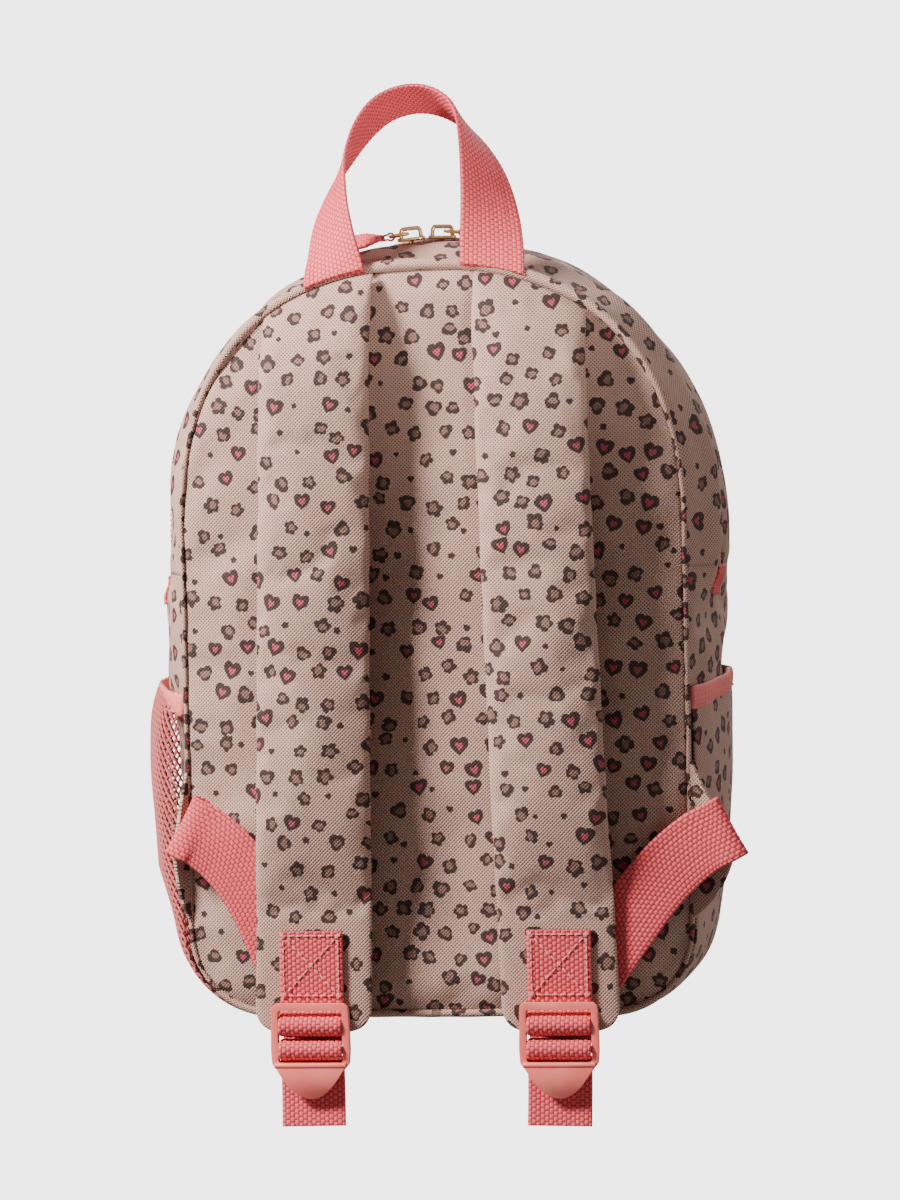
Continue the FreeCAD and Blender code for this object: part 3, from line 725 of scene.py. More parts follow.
lastRow = len(depthRows) - 1
backGrid, frontGrid = panelGrid(0.0), panelGrid(bag["depth"])
crownShape = np.sin(np.linspace(0, math.pi, up + 1))[:, None] ** 0.6 * np.sin(np.linspace(0, math.pi, across + 1)) ** 0.6
backGrid[..., 1] -= 2.5 * crownShape
hollow = 6.0 * np.exp(-(backGrid[..., 0] / 42) ** 2 - ((backGrid[..., 2] - 34) / 30) ** 2) * crownShape
backGrid[..., 1] += hollow              # the foot of the back panel sinks in between the straps
frontGrid[..., 1] += 4.0 * crownShape
bodyPoints = np.concatenate([ringRows.reshape(-1, 3), backGrid[1:-1, 1:-1].reshape(-1, 3),
                             frontGrid[1:-1, 1:-1].reshape(-1, 3)])
backStart = len(depthRows) * ringCount
frontStart = backStart + (up - 1) * (across - 1)
backIndex = np.array([[panelIndex(j, i, 0, backStart) for i in range(across + 1)] for j in range(up + 1)])
frontIndex = np.array([[panelIndex(j, i, lastRow, frontStart) for i in range(across + 1)] for j in range(up + 1)])
bodyFaces = gridFaces(len(depthRows), ringCount, closed=True, flip=True)
for index, flip in ((backIndex, False), (frontIndex, True)):
    for j in range(up):
        for i in range(across):
            face = (index[j, i], index[j, i + 1], index[j + 1, i + 1], index[j + 1, i])
            bodyFaces.append(face[::-1] if flip else face)

pin = np.zeros(len(bodyPoints))
capMm = np.full(len(bodyPoints), 5.0)
for r, y in enumerate(depthRows):
    for k in range(ringCount):
        z = ringXZ[k, 1]
        here = r * ringCount + k
        if r in (0, lastRow):
            pin[here] = 1
        elif z >= bag["fold"] - 1 and slitRows[0] <= r <= slitRows[1]:
            pin[here] = 1                    # the zip
        elif abs(z - bag["fold"]) < 4:
            pin[here] = 0.9
        elif z < 12:
            pin[here] = 0.9                  # the base board
capMm[backStart:frontStart] = 4.0
capMm[:backStart] = np.where(np.tile(ringXZ[:, 1], len(depthRows)) > bag["fold"], 2.5, 5.0)
loose = wobble(bodyPoints, 26, 1.6, 3.0)
startPoints = bodyPoints + (loose - bodyPoints) * (1 - pin)[:, None]
bodyPoints = inflate("bodySkin", startPoints, bodyFaces, pin, pressure=1.2, grow=0.012, cap=capMm)
print("body filled")

insideBag = np.array([0, 52.0, 150.0])
ringSkin = bodyPoints[:backStart].reshape(len(depthRows), ringCount, 3)
backSkin, frontSkin = bodyPoints[backIndex], bodyPoints[frontIndex]


def skinAt(sign, z, y):
    # the filled side of the bag at a height and a depth, between the corner and the arch
    d = flat + cornerArc + z - bag["corner"]
    column = np.interp(d if sign > 0 else outlineLength - d, ringD, np.arange(ringCount))
    row = np.interp(y, depthRows, np.arange(len(depthRows)))
    r, c = int(row), int(column)
    near, far = [ringSkin[k, c] + (ringSkin[k, c + 1] - ringSkin[k, c]) * (column - c) for k in (r, r + 1)]
    return near + (far - near) * (row - r)


def ringUv(rows, columns):
    """Around the seam in U and across the depth in V, in mm."""
    d = np.unwrap(ringD[columns] * 2 * math.pi / outlineLength) * outlineLength / (2 * math.pi)
    return np.array([[(u + 900, depthRows[r]) for u in d] for r in rows])


def ringPiece(name, rows, columns):
    columns = np.array(columns) % ringCount
    rows = list(rows)
    points = ringSkin[rows][:, columns]
    piece = gridPiece(name, points, ringUv(rows, columns), "print", insideBag)
    return applied(thicken(subdivide(piece, 2), 1.0))


def panelPiece(name, skin, side):
    uvs = np.stack([skin[..., 0] + 300 * side, skin[..., 2]], axis=-1)
    piece = gridPiece(name, skin, uvs, "print", insideBag)
    return applied(thicken(subdivide(piece, 2), 1.0))


finishPiece(panelPiece("backPanel", backSkin, 1), "bag", ["back_panel"])
frontPanel = panelPiece("frontPanel", frontSkin, 3)
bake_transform(frontPanel)
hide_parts("front_panel_upper", "front_panel_lower")
sideColumns = {"right": range(across - 4, foldRight + 1), "left": range(foldLeft, 2 * across + 2 * up + 5)}
for side, columns in sideColumns.items():
    finishPiece(ringPiece(f"sidePanel_{side}", range(lastRow + 1), columns), "bag", [f"side_panel_{side}"])
finishPiece(ringPiece("basePanel", range(lastRow + 1), range(4, across - 3)), "bag", ["base_panel"])
arch = range(foldRight, foldLeft + 1)
finishPiece(ringPiece("gussetBack", range(slitRows[0] + 1), arch), "bag", ["gusset_back_strip"])
finishPiece(ringPiece("gussetFront", range(slitRows[1], lastRow + 1), arch), "front_flap", ["gusset_front_strip"])
print("panels cut")


# ---- Piping: a covered cord in each long seam ----

def tube(name, path, radii, material, closed=False, sides_=10, uvShift=0.0):
    """A tube along a path of points in mm with a radius at each, and cloth coordinates round and along it."""
    path = np.asarray(path, float)
    count = len(path)
    points, uvs = [], []
    length = 0.0
    if closed:
        tangents = np.roll(path, -1, axis=0) - np.roll(path, 1, axis=0)
    else:
        tangents = np.gradient(path, axis=0)
    for i, (p, t) in enumerate(zip(path, tangents)):
        t = t / np.linalg.norm(t)
        a = np.array([0, 1.0, 0]) if abs(t[1]) < 0.9 else np.array([1.0, 0, 0])
        b = np.cross(t, a)
        b /= np.linalg.norm(b)
        a = np.cross(b, t)
        if i:
            length += np.linalg.norm(p - path[i - 1])
        for s in range(sides_):
            angle = 2 * math.pi * s / sides_
            points.append(p + radii[i] * (a * math.cos(angle) + b * math.sin(angle)))
            uvs.append((length + uvShift, s * 2 * math.pi * radii[i] / sides_))
    faces = []
    for i in range(count if closed else count - 1):
        j = (i + 1) % count
        for s in range(sides_):
            e = (s + 1) % sides_
            faces.append((i * sides_ + s, j * sides_ + s, j * sides_ + e, i * sides_ + e))
    if not closed:
        faces.append(tuple(range(sides_)))
        faces.append(tuple((count - 1) * sides_ + s for s in reversed(range(sides_))))
    obj = newObject(name, points, faces, material, uvs)
    b = bmesh.new()
    b.from_mesh(obj.data)
    bmesh.ops.recalc_face_normals(b, faces=b.faces)
    b.to_mesh(obj.data)
    b.free()
    return obj


piping = {"side": 1.05, "top": 2.6, "foot": 1.7, "step": 4.0}


def pipingPath(y, d0, d1):
    count = int((d1 - d0) / piping["step"])
    path, radii = [], []
    for i in range(count + 1):
        d = d0 + (d1 - d0) * i / count
        (x, z), (nx, nz) = outlineAt(d)
        jog = 0.35 * noise.noise(Vector((d / 17, y, 0)))
        out = 0.9 + jog + shoulderAt(x, z, y)
        wide = min(1.0, max(0.0, (z - 225) / 50))
        low = min(1.0, max(0.0, (14 - z) / 14))
        path.append((x + nx * (out + wide), y + jog, z + nz * (out + wide)))
        radii.append(piping["side"] + (piping["top"] - piping["side"]) * wide + (piping["foot"] - piping["side"]) * low
                     + 0.2 * noise.noise(Vector((i / 3.1, y, 7))))
    return path, radii


def closedPiping(name, y):
    path, radii = pipingPath(y, 0, outlineLength)
    return applied(subdivide(tube(name, path[:-1], radii[:-1], "print", closed=True), 1))


finishPiece(closedPiping("backPiping", 0.0), "bag", ["back_piping"])
frontPiping = closedPiping("frontPiping", bag["depth"])
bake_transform(frontPiping)
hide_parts("front_piping_upper", "front_piping_lower")
print("piping sewn")


# ---- Webbing: a heavy woven band swept along a path ----

def webbingBand(name, centres, acrosses, width=25.0, thickness=1.6, material="webbing", step=0.5, weave=True,
                lanes=None):
    """centres and the unit directions across the band, at stations along it, in mm."""
    centres, acrosses = np.asarray(centres, float), np.asarray(acrosses, float)
    lengths = np.concatenate([[0], np.cumsum(np.linalg.norm(np.diff(centres, axis=0), axis=1))])
    count = max(3, int(lengths[-1] / step))
    at = np.linspace(0, lengths[-1], count)
    path = np.stack([np.interp(at, lengths, centres[:, k]) for k in range(3)], axis=1)
    side = np.stack([np.interp(at, lengths, acrosses[:, k]) for k in range(3)], axis=1)
    along = np.gradient(path, axis=0)
    along /= np.linalg.norm(along, axis=1)[:, None]
    side -= along * np.sum(side * along, axis=1)[:, None]
    side /= np.linalg.norm(side, axis=1)[:, None]
    face = np.cross(along, side)
    lanes = lanes or (int(width / 0.62) if weave else 12)
    points, uvs = [], []
    for top in (1, -1):
        for i in range(count):
            for j in range(lanes + 1):
                x = (j / lanes - 0.5) * width
                edge = 1 - max(0.0, (abs(x) - width / 2 + 1.1) / 1.1) ** 2
                bead = 0.0
                if weave:
                    column = (x + 50) / webbingLook["column"]
                    row = at[i] / webbingLook["row"] + 0.5 * (math.floor(column) % 2)
                    bead = (abs(math.sin(column * math.pi)) ** 0.5 * abs(math.sin(row * math.pi)) ** 0.6 - 0.6)
                    bead *= webbingLook["depth"]
                lift = thickness / 2 * (0.35 + 0.65 * edge) + bead * edge
                points.append(path[i] + side[i] * x + face[i] * lift * top)
                uvs.append((x + 50 + (0 if top > 0 else 60), at[i]))
    rowLength = lanes + 1
    faces = gridFaces(count, rowLength)
    half = count * rowLength
    faces += [tuple(v + half for v in f[::-1]) for f in gridFaces(count, rowLength)]
    for i in range(count - 1):
        for j, turned in ((0, False), (lanes, True)):
            a, b = i * rowLength + j, (i + 1) * rowLength + j
            quad = (a, b, b + half, a + half)
            faces.append(quad[::-1] if turned else quad)
    for j in range(lanes):
        for i, turned in ((0, True), (count - 1, False)):
            a, b = i * rowLength + j, i * rowLength + j + 1
            quad = (a, b, b + half, a + half)
            faces.append(quad[::-1] if turned else quad)
    obj = newObject(name, points, faces, material, uvs)
    b = bmesh.new()
    b.from_mesh(obj.data)
    bmesh.ops.recalc_face_normals(b, faces=b.faces)
    b.to_mesh(obj.data)
    b.free()
    return obj


def curvePath(points, count=60):
    """A smooth Catmull-Rom curve through the points."""
    p = np.asarray(points, float)
    p = np.vstack([2 * p[0] - p[1], p, 2 * p[-1] - p[-2]])
    out = []
    spans = len(p) - 3
    for s in np.linspace(0, spans - 1e-9, count):
        i, t = int(s), s - int(s)
        a, b, c, d = p[i:i + 4]
        out.append(0.5 * (2 * b + (c - a) * t + (2 * a - 5 * b + 4 * c - d) * t * t
                          + (3 * b - a - 3 * c + d) * t ** 3))
    return np.array(out)


# carry handle
# across, height above the seam and twist in degrees, from the left foot over the crown to the right foot
handleLine = [(-34.6, -6, 6), (-35.6, 0, 12), (-36.8, 10, 32), (-37.6, 22, 46), (-37.0, 32, 58), (-35.4, 41, 69),
              (-32.4, 49.5, 80), (-28.1, 59, 87), (-22.8, 66.8, 90), (-16.2, 72.0, 90), (-8.1, 74.4, 90),
              (-0.8, 73.9, 90), (5.6, 71.2, 89), (11.2, 66.6, 85), (15.8, 59.8, 74), (19.2, 51.6, 62),
              (22.2, 41.5, 49), (24.4, 30, 37), (25.6, 20, 26), (26.4, 8, 12), (26.7, 0, 5), (26.8, -6, 2)]


def handleStations(count=160):
    line = curvePath([(x, turnBy * 0.4, h) for x, h, turnBy in handleLine], count)
    centres, acrosses = [], []
    ca, sa = math.cos(-lean), math.sin(-lean)

    def leant(v):
        return np.array([v[0], v[1] * ca - v[2] * sa, v[1] * sa + v[2] * ca])
    for i in range(count):
        a, b = line[max(i - 1, 0)], line[min(i + 1, count - 1)]
        along = np.array([b[0] - a[0], 0, b[2] - a[2]])
        along /= np.linalg.norm(along)
        twist = math.radians(line[i][1] / 0.4)
        flatWay = np.array([along[2], 0, -along[0]])
        side = flatWay * math.cos(twist) - np.array([0, 1.0, 0]) * math.sin(twist)
        centres.append(leant(np.array([line[i][0], 0, line[i][2]])) + (0, handle["pivotY"], handle["pivotZ"] - 1.5))
        acrosses.append(leant(side))
    return centres, acrosses


handleBand = webbingBand("carryHandle", *handleStations())
for v in handleBand.data.vertices:          # both feet dive into the seam, along its curve
    x, z = v.co.x * 1000, v.co.z * 1000 + originMm[2]
    below = seamTop(x) + 1.6 - z
    if below > 0:
        v.co.y += min(6.5, 2.2 * below) / 1000
finishPiece(handleBand, "handle", ["carry_handle"])
print("handle woven")


# ---- Shoulder straps ----

strap = {"topX": 41.5, "footX": 48.5, "topHalf": 22.3, "footHalf": 23.6, "foot": -7.0, "padFoot": 36.0,
         "across": 20, "along": 120, "corner": 10.0}


def strapRow(v, u):
    """Middle of the strap (x, z) and its half width at a share v from top to foot and u across, -1 to 1."""
    x = strap["topX"] + (strap["footX"] - strap["topX"]) * v ** 1.2
    half = strap["topHalf"] + (strap["footHalf"] - strap["topHalf"]) * v
    x = x + half * u
    top = seamTop(x)
    out = max(0.0, abs(u) * half - (half - strap["corner"]))
    foot = strap["foot"] + strap["corner"] - math.sqrt(max(0.0, strap["corner"] ** 2 - out ** 2)) * 1.0
    return x, top + (foot - top) * v


def strapSection(z, top):
    """Back and front of the pad at a height: (y back, y front)."""
    t = (z - 36) / (290 - 36)
    back = -12.0 - 2.6 * math.sin(max(0.0, min(1.0, t)) * math.pi) ** 0.8
    thick = 8.6
    near = top - z
    if near < 30:                                   # thins into the seam
        s = near / 30
        back = back * (s ** 0.5) - 1.6 * (1 - s)
        thick = 2.4 + (thick - 2.4) * math.sin(s * math.pi / 2)
    if z < strap["padFoot"] + 44:                    # and towards the patch at its foot
        s = max(0.0, (z - strap["padFoot"]) / 44)
        thick = 3.2 + (thick - 3.2) * s * s * (3 - 2 * s)
        back = -12.1 + (back + 12.1) * s
    return back, back - thick


def strapGrid():
    columns, rows = strap["across"], strap["along"]
    front, back = np.zeros((rows + 1, columns + 1, 3)), np.zeros((rows + 1, columns + 1, 3))
    for r in range(rows + 1):
        for c in range(columns + 1):
            u = 2 * c / columns - 1
            u = math.sin(u * math.pi / 2) * 0.35 + u * 0.65
            x, z = strapRow(r / rows, u)
            yb, yf = strapSection(z, strapRow(0, u)[1])
            round_ = (1 - abs(u) ** 5) ** 0.5
            mid = (yb + yf) / 2
            front[r, c] = (x, mid + (yf - mid) * round_, z)
            back[r, c] = (x, mid + (yb - mid) * round_, z)
    return front, back


def makeStrap(side, sign):
    front, back = strapGrid()
    columns, rows = strap["across"], strap["along"]
    points, index = [], np.zeros((2, rows + 1, columns + 1), int)
    for which, grid in enumerate((front, back)):
        for r in range(rows + 1):
            for c in range(columns + 1):
                shared = which == 1 and (c in (0, columns) or r in (0, rows))
                if shared:
                    index[which, r, c] = index[0, r, c]
                else:
                    index[which, r, c] = len(points)
                    points.append(grid[r, c])
    points = mirrored(points, sign)
    faces = []
    for which in (0, 1):
        for r in range(rows):
            for c in range(columns):
                i = index[which]
                face = (i[r, c], i[r, c + 1], i[r + 1, c + 1], i[r + 1, c])
                faces.append(face if (which == 0) == (sign < 0) else face[::-1])
    hold = np.zeros(len(points))
    for r in range(rows + 1):
        for c in range(columns + 1):
            z = front[r, c, 2]
            if c in (0, columns):
                hold[index[:, r, c]] = 0.55
            if r < 3 or z < strap["padFoot"] + 3:
                hold[index[:, r, c]] = 1.0
    loose = wobble(points, 18, 0.6, 11.0 + sign)
    start = points + (loose - points) * (1 - hold)[:, None]
    moved = inflate(f"strapSkin_{side}", start, faces, hold, pressure=2.2, grow=0.008, cap=2.6)
    obj = newObject(f"strap_{side}", moved, faces, "print", [(p[0] + 500 + 400 * sign, p[2]) for p in moved])
    b = bmesh.new()
    b.from_mesh(obj.data)
    bmesh.ops.recalc_face_normals(b, faces=b.faces)
    b.to_mesh(obj.data)
    b.free()
    applied(subdivide(obj, 1))
    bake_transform(obj)
    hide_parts(f"strap_cover_{side}")
    return obj


for side, sign in sides:
    makeStrap(side, sign)
print("straps filled")


# ---- Adjusters: sewn loop, ladder lock and the webbing through it ----

adjuster = {"bar": (-21.2, -3.0), "grip": (-21.6, -12.3), "x": 48.5, "face": -15.6, "patchTop": 33.5}


def arcPoints(centre, radius, start, end, count=12):
    """Points (y, z) round a bar, angles in degrees from +Y towards +Z."""
    out = []
    for a in np.linspace(math.radians(start), math.radians(end), count):
        out.append((centre[0] + radius * math.cos(a), centre[1] + radius * math.sin(a)))
    return out


def bandFromSide(name, yz, x, width=25.0, thickness=1.5, sway=0.0):
    """A band whose path lies in a plane across X."""
    yz = np.asarray(yz, float)
    centres = [(x + sway * (z - yz[0][1]) / 40, y, z) for y, z in yz]
    return webbingBand(name, centres, [(1, 0, 0)] * len(centres), width, thickness)


def roundedPlate(outline, holes, y0, y1):
    """A plate from an outline in XZ with holes, between two depths: points and faces for bmesh."""
    b = bmesh.new()
    loops = []
    for loop in [outline] + holes:
        verts = [b.verts.new((x, 0, z)) for x, z in loop]
        loops.append([b.edges.new((verts[i], verts[(i + 1) % len(verts)])) for i in range(len(verts))])
    bmesh.ops.triangle_fill(b, use_beauty=True, edges=[e for loop in loops for e in loop])
    made = bmesh.ops.extrude_face_region(b, geom=list(b.faces))
    for v in [g for g in made["geom"] if isinstance(g, bmesh.types.BMVert)]:
        v.co.y = 1
    for v in b.verts:
        v.co.y = y0 + (y1 - y0) * v.co.y
    bmesh.ops.recalc_face_normals(b, faces=b.faces)
    return b


def roundedRect(x0, x1, z0, z1, radius, count=4):
    out = []
    for cx, cz, start in ((x1 - radius, z1 - radius, 0), (x0 + radius, z1 - radius, 90),
                          (x0 + radius, z0 + radius, 180), (x1 - radius, z0 + radius, 270)):
        for i in range(count + 1):
            a = math.radians(start + 90 * i / count)
            out.append((cx + radius * math.cos(a), cz + radius * math.sin(a)))
    return out


def fromBmesh(name, parts, material, inMm=True):
    """One object from several bmeshes."""
    mesh = bpy.data.meshes.new(name)
    whole = bmesh.new()
    for part in parts:
        piece = bpy.data.meshes.new("piece")
        part.to_mesh(piece)
        whole.from_mesh(piece)
        part.free()
        bpy.data.meshes.remove(piece)
    for v in whole.verts:
        v.co = Vector(place(v.co))
    whole.to_mesh(mesh)
    whole.free()
    mesh.materials.append(materials[material])
    obj = bpy.data.objects.new(name, mesh)
    bpy.context.collection.objects.link(obj)
    mesh.shade_smooth()
    return obj


def bar(x0, x1, centre, ry, rz, sides_=20):
    b = bmesh.new()
    ends = []
    for x in (x0, x1):
        ends.append([b.verts.new((x, centre[0] + ry * math.cos(a), centre[1] + rz * math.sin(a)))
                     for a in np.linspace(0, 2 * math.pi, sides_, endpoint=False)])
    for i in range(sides_):
        j = (i + 1) % sides_
        b.faces.new((ends[0][i], ends[0][j], ends[1][j], ends[1][i]))
    b.faces.new(ends[0])
    b.faces.new(ends[1][::-1])
    bmesh.ops.recalc_face_normals(b, faces=b.faces)
    return b


def makeLadderLock(side, sign):
    x = adjuster["x"]
    yFront, yBack = -23.7, -19.9
    outer = [(x + dx, z) for dx, z in ((-15.1, 3.2), (-14.9, 5.0), (-13.6, 6.1), (13.6, 6.1), (14.9, 5.0), (15.1, 3.2),
                                       (15.5, -12.0), (15.1, -17.5), (12.6, -20.6), (-12.6, -20.6), (-15.1, -17.5),
                                       (-15.5, -12.0))]
    window = roundedRect(x - 12.65, x + 12.65, -17.0, 3.4, 1.2)
    frameBody = roundedPlate(outer, [window], yFront, yBack)
    for v in frameBody.verts:
        if v.co.z > 3.3 and v.co.y > -21.6:         # the upper rail is thin, clear of the loop when it tips
            v.co.y = -21.6
    tip = []
    for a in np.linspace(0, math.pi, 29):           # a thumb lever, drawn in to a round tip
        depth = math.sin(a)
        reach = 14.2 * math.sqrt(max(0.0, 1 - depth))
        tip.append((x + math.copysign(reach, math.cos(a)), -17.4 - 13.6 * depth))
    lever = roundedPlate(tip, [], yFront - 1.2, yFront + 1.4)
    for v in lever.verts:
        s = max(0.0, (-17.4 - v.co.z) / 13.6)
        v.co.y -= 1.3 * math.sin(s * math.pi) - 1.0 * s
    ridge = bar(x - 14.0, x + 14.0, (yFront - 0.7, -17.9), 1.3, 1.1)
    upper = bar(x - 14, x + 14, adjuster["bar"], 1.5, 1.5)
    grip = bar(x - 14, x + 14, adjuster["grip"], 1.5, 1.5)
    obj = fromBmesh(f"ladderLock_{side}", [frameBody, lever, ridge, upper, grip], "plastic")
    if sign < 0:
        mirrorMesh(obj)
    applied(bevel(obj, 0.7, 3))
    return finishPiece(obj, f"adjuster_{side}", [f"ladder_lock_{side}"])


def mirrorMesh(obj):
    obj.data.transform(Matrix.Scale(-1, 4, (1, 0, 0)))
    obj.data.flip_normals()


def boxX(name, x0, x1, z0, z1, y, body, rows=0.0):
    """A sewn box with its diagonals, seen from the strap side."""
    corners = [(x0, z0), (x1, z0), (x1, z1), (x0, z1)]
    lines = [(corners[i], corners[(i + 1) % 4]) for i in range(4)] + [(corners[0], corners[2]), (corners[1], corners[3])]
    paths = []
    for (ax, az), (bx, bz) in lines:
        count = 12
        path = [(ax + (bx - ax) * i / count, y, az + (bz - az) * i / count) for i in range(count + 1)]
        paths.append((path, [(0, -1, 0)] * (count + 1)))
    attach(stitches(name, paths), body)


# where each loop of webbing folds round its tab, its way down behind the strap, and the tab's free edge
loopEnd = {
    "right": {"fold": (114.5, -6.6, 71.6), "route": ((103, -9.2, 65.6), (93.5, -9.4, 58), (84.5, -9.8, 48.6),
                                                     (76, -10.2, 37.5), (62, -10.6, 18)),
              "rim": ((99.4, -0.9, 97), (105.5, -3.2, 84), (111.5, -5.2, 74), (116.5, -6.6, 62.5), (109.5, -4.6, 46),
                      (99.4, -0.9, 35.5))},
    "left": {"fold": (99.6, -7.6, 74.4), "route": ((91, -9.6, 69.8), (83.5, -9.8, 63.5), (76, -10.0, 55),
                                                   (69, -10.3, 43.5), (60, -10.6, 23)),
             "rim": ((99.0, -0.9, 97), (100.5, -3.4, 84), (101.2, -6.0, 75), (103.0, -7.2, 65), (101.8, -4.8, 48),
                     (99.0, -0.9, 35.5))}}
for side, sign in sides:
    x = adjuster["x"] * sign
    inner = 3.2
    # the patch runs down the strap's foot, round the upper bar and back up behind it
    loop = [(adjuster["face"] - 1.0, adjuster["patchTop"]), (adjuster["face"] - 1.0, 16), (adjuster["face"] - 0.8, 6),
            (adjuster["face"] - 1.5, 3.1), (adjuster["face"] - 3.2, 1.2)]
    loop += [(adjuster["bar"][0] + inner * math.cos(a), adjuster["bar"][1] + inner * math.sin(a))
             for a in np.linspace(math.radians(108), math.radians(385), 22)]
    loop += [(adjuster["face"] - 0.8, 1.5), (adjuster["face"] + 0.2, 5)]
    yz = np.array(loop)
    path = curvePath([(0, a, b) for a, b in yz], 110)
    obj = bandFromSide(f"buckleLoop_{side}", path[:, 1:], x)
    finishPiece(obj, f"strap_{side}", [f"buckle_loop_{side}"])
    boxX(f"patchStitches_{side}", x - 10.8, x + 10.8, 8.5, adjuster["patchTop"] - 1.8, adjuster["face"] - 2.05,
         f"strap_{side}")
    makeLadderLock(side, sign)
    # adjusting webbing: in from behind, over the grip bar, out under the lever
    wrap = 3.0
    tail = [(-15.9, -9.6), (-18.4, -8.9)]
    tail += arcPoints(adjuster["grip"], wrap + 0.15, 60, 290, 18)
    tail += [(-19.2, -16.8), (-19.0, -21), (-19.2, -28), (-19.9, -34), (-21.2, -42)]
    path = curvePath([(0, a, b) for a, b in tail], 110)
    obj = bandFromSide(f"webbingTail_{side}", path[:, 1:], x, sway=0.6 * sign)
    finishPiece(obj, f"adjuster_{side}", [f"webbing_tail_{side}"])

    # lower webbing, from the anchor tab to behind the strap and down to the adjuster
    tip = loopEnd[side]
    fold = np.array(tip["fold"])
    inward = np.array([-0.88, 0.0, -0.47])
    line = [fold + inward * 9 + (0, 5.2, 0), fold + inward * 3 + (0, 3.6, 0), fold + (0, 1.6, 0), fold + inward * -0.6,
            fold + inward * 0.6 + (0, -1.5, 0), fold + inward * 4 + (0, -2.3, 0)]
    line += [np.array(q) for q in tip["route"]]
    line += [np.array(q) for q in ((51, -10.7, 2), (48.6, -11.2, -6.5), (48.5, -13.6, -9.5), (48.5, -15.7, -9.6))]
    centres = curvePath(line, 200)
    flatSide = np.array([0.47, -0.16, -0.88])
    acrosses = []
    for i, c in enumerate(centres):
        along = centres[min(i + 1, 199)] - centres[max(i - 1, 0)]
        along /= np.linalg.norm(along)
        share = i / 199
        route = np.array([-along[2], 0.0, along[0]])
        early = np.clip((0.5 - share) / 0.12, 0, 1)
        level = np.clip((share - 0.72) / 0.2, 0, 1)
        way = flatSide * early + (route * (1 - level) + np.array([-1.0, 0, 0]) * level) * (1 - early)
        acrosses.append(way / np.linalg.norm(way))
    obj = webbingBand(f"lowerWebbing_{side}", mirrored(centres, sign), mirrored(acrosses, sign))
    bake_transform(obj)
    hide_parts(f"lower_webbing_{side}")

    # anchor tab: a doubled wedge of cloth from the back seam
    rim = curvePath([(p[0], p[1], p[2]) for p in tip["rim"]], 13)
    rows = []
    for v, edge in zip(np.linspace(0, 1, 13), rim):
        seam = np.array((98.3, -0.4, 98 + (35 - 98) * v))
        rows.append([seam + (edge - seam) * u for u in np.linspace(0, 1, 9)])
    rows = wobble(mirrored(rows, sign), 14, 0.5, 5.0)
    uvs = [[(p[0] * 1.05 + 700, p[2]) for p in row] for row in rows]
    tab = gridPiece(f"anchorTab_{side}", rows, uvs, "print", (0.0, -1.0, 0.0))
    applied(thicken(subdivide(tab, 2), 1.8, inner=None))
    finishPiece(tab, "bag", [f"anchor_tab_{side}"])
print("adjusters threaded")


# ---- Side pockets: net on the left, cloth on the right, both sewn in at the seams and round the bottom corner ----

pocket = {"foot": 66.0, "topBack": 125.5, "topRise": 4.0, "puff": {-1: 17.0, 1: 6.5}, "band": 9.5, "netWide": 4.0,
          "netTall": 2.35, "yarn": 0.58}


def pocketPoint(sign, y, share, lift=0.0, above=0.0):
    """A point of a right-hand pocket at depth y and a share of its height; above is mm past its top edge."""
    topZ = pocket["topBack"] + pocket["topRise"] * min(1.0, y / 55)
    topD = flat + cornerArc + topZ - bag["corner"]
    d = pocket["foot"] + (topD - pocket["foot"]) * share + above
    (x, z), (nx, nz) = outlineAt(d)
    depth = max(0.0, 1 - ((y - 52.5) / 51.5) ** 2)
    puff = pocket["puff"][sign] * min(1.0, share / 0.5) ** 1.1 * (1 - 0.62 * share ** 8)
    off = sideRadius(y, bulgeAt(z)) + bag["skin"] + 0.5 + puff * depth ** 0.55 + lift
    ripple = 0.7 * share ** 3 * math.sin(y / 5.2) + 0.5 * noise.noise(Vector((y / 14, d / 20, 2)))
    off += ripple * depth + 0.6 * hangAt(sign, z, y)
    return (x + nx * off, y, z + nz * off), d


def pocketSheet(sign, rows=34, columns=26):
    points, uvs = [], []
    for r in range(rows + 1):
        pr, ur = [], []
        for c in range(columns + 1):
            y = 2.0 + 101.0 * c / columns
            p, d = pocketPoint(sign, y, r / rows)
            pr.append(p)
            ur.append((d + 1500 * sign, y))
        points.append(pr)
        uvs.append(ur)
    return mirrored(points, sign), uvs


clothPocket = gridPiece("clothPocket", *pocketSheet(1), "print", insideBag)
applied(thicken(subdivide(clothPocket, 1), 1.0))
finishPiece(clothPocket, "bag", ["cloth_pocket"])


def netPocket():
    points, edges, where = [], [], {}
    rows, columns = int(148 / pocket["netTall"]), int(100 / pocket["netWide"])
    for r in range(rows + 1):
        for c in range(columns + 1):
            y = 2.5 + (c + 0.5 * (r % 2)) * pocket["netWide"]
            if y > 102.5:
                continue
            p, _ = pocketPoint(-1, y, r / rows)
            where[r, c] = len(points)
            points.append(p)
    for (r, c), i in where.items():
        for dc in ((0, 1) if r % 2 else (0, -1)):
            j = where.get((r + 1, c + dc))
            if j is not None:
                edges.append((i, j))
    mesh = bpy.data.meshes.new("netPocket")
    mesh.from_pydata(place(mirrored(points, -1)).tolist(), edges, [])
    obj = bpy.data.objects.new("netPocket", mesh)
    bpy.context.collection.objects.link(obj)
    return runTree(obj, yarnNet, Radius=pocket["yarn"] / 1000, Sides=4, Material=materials["net"])


net = netPocket()
finishPiece(net, "bag", ["mesh_pocket"])


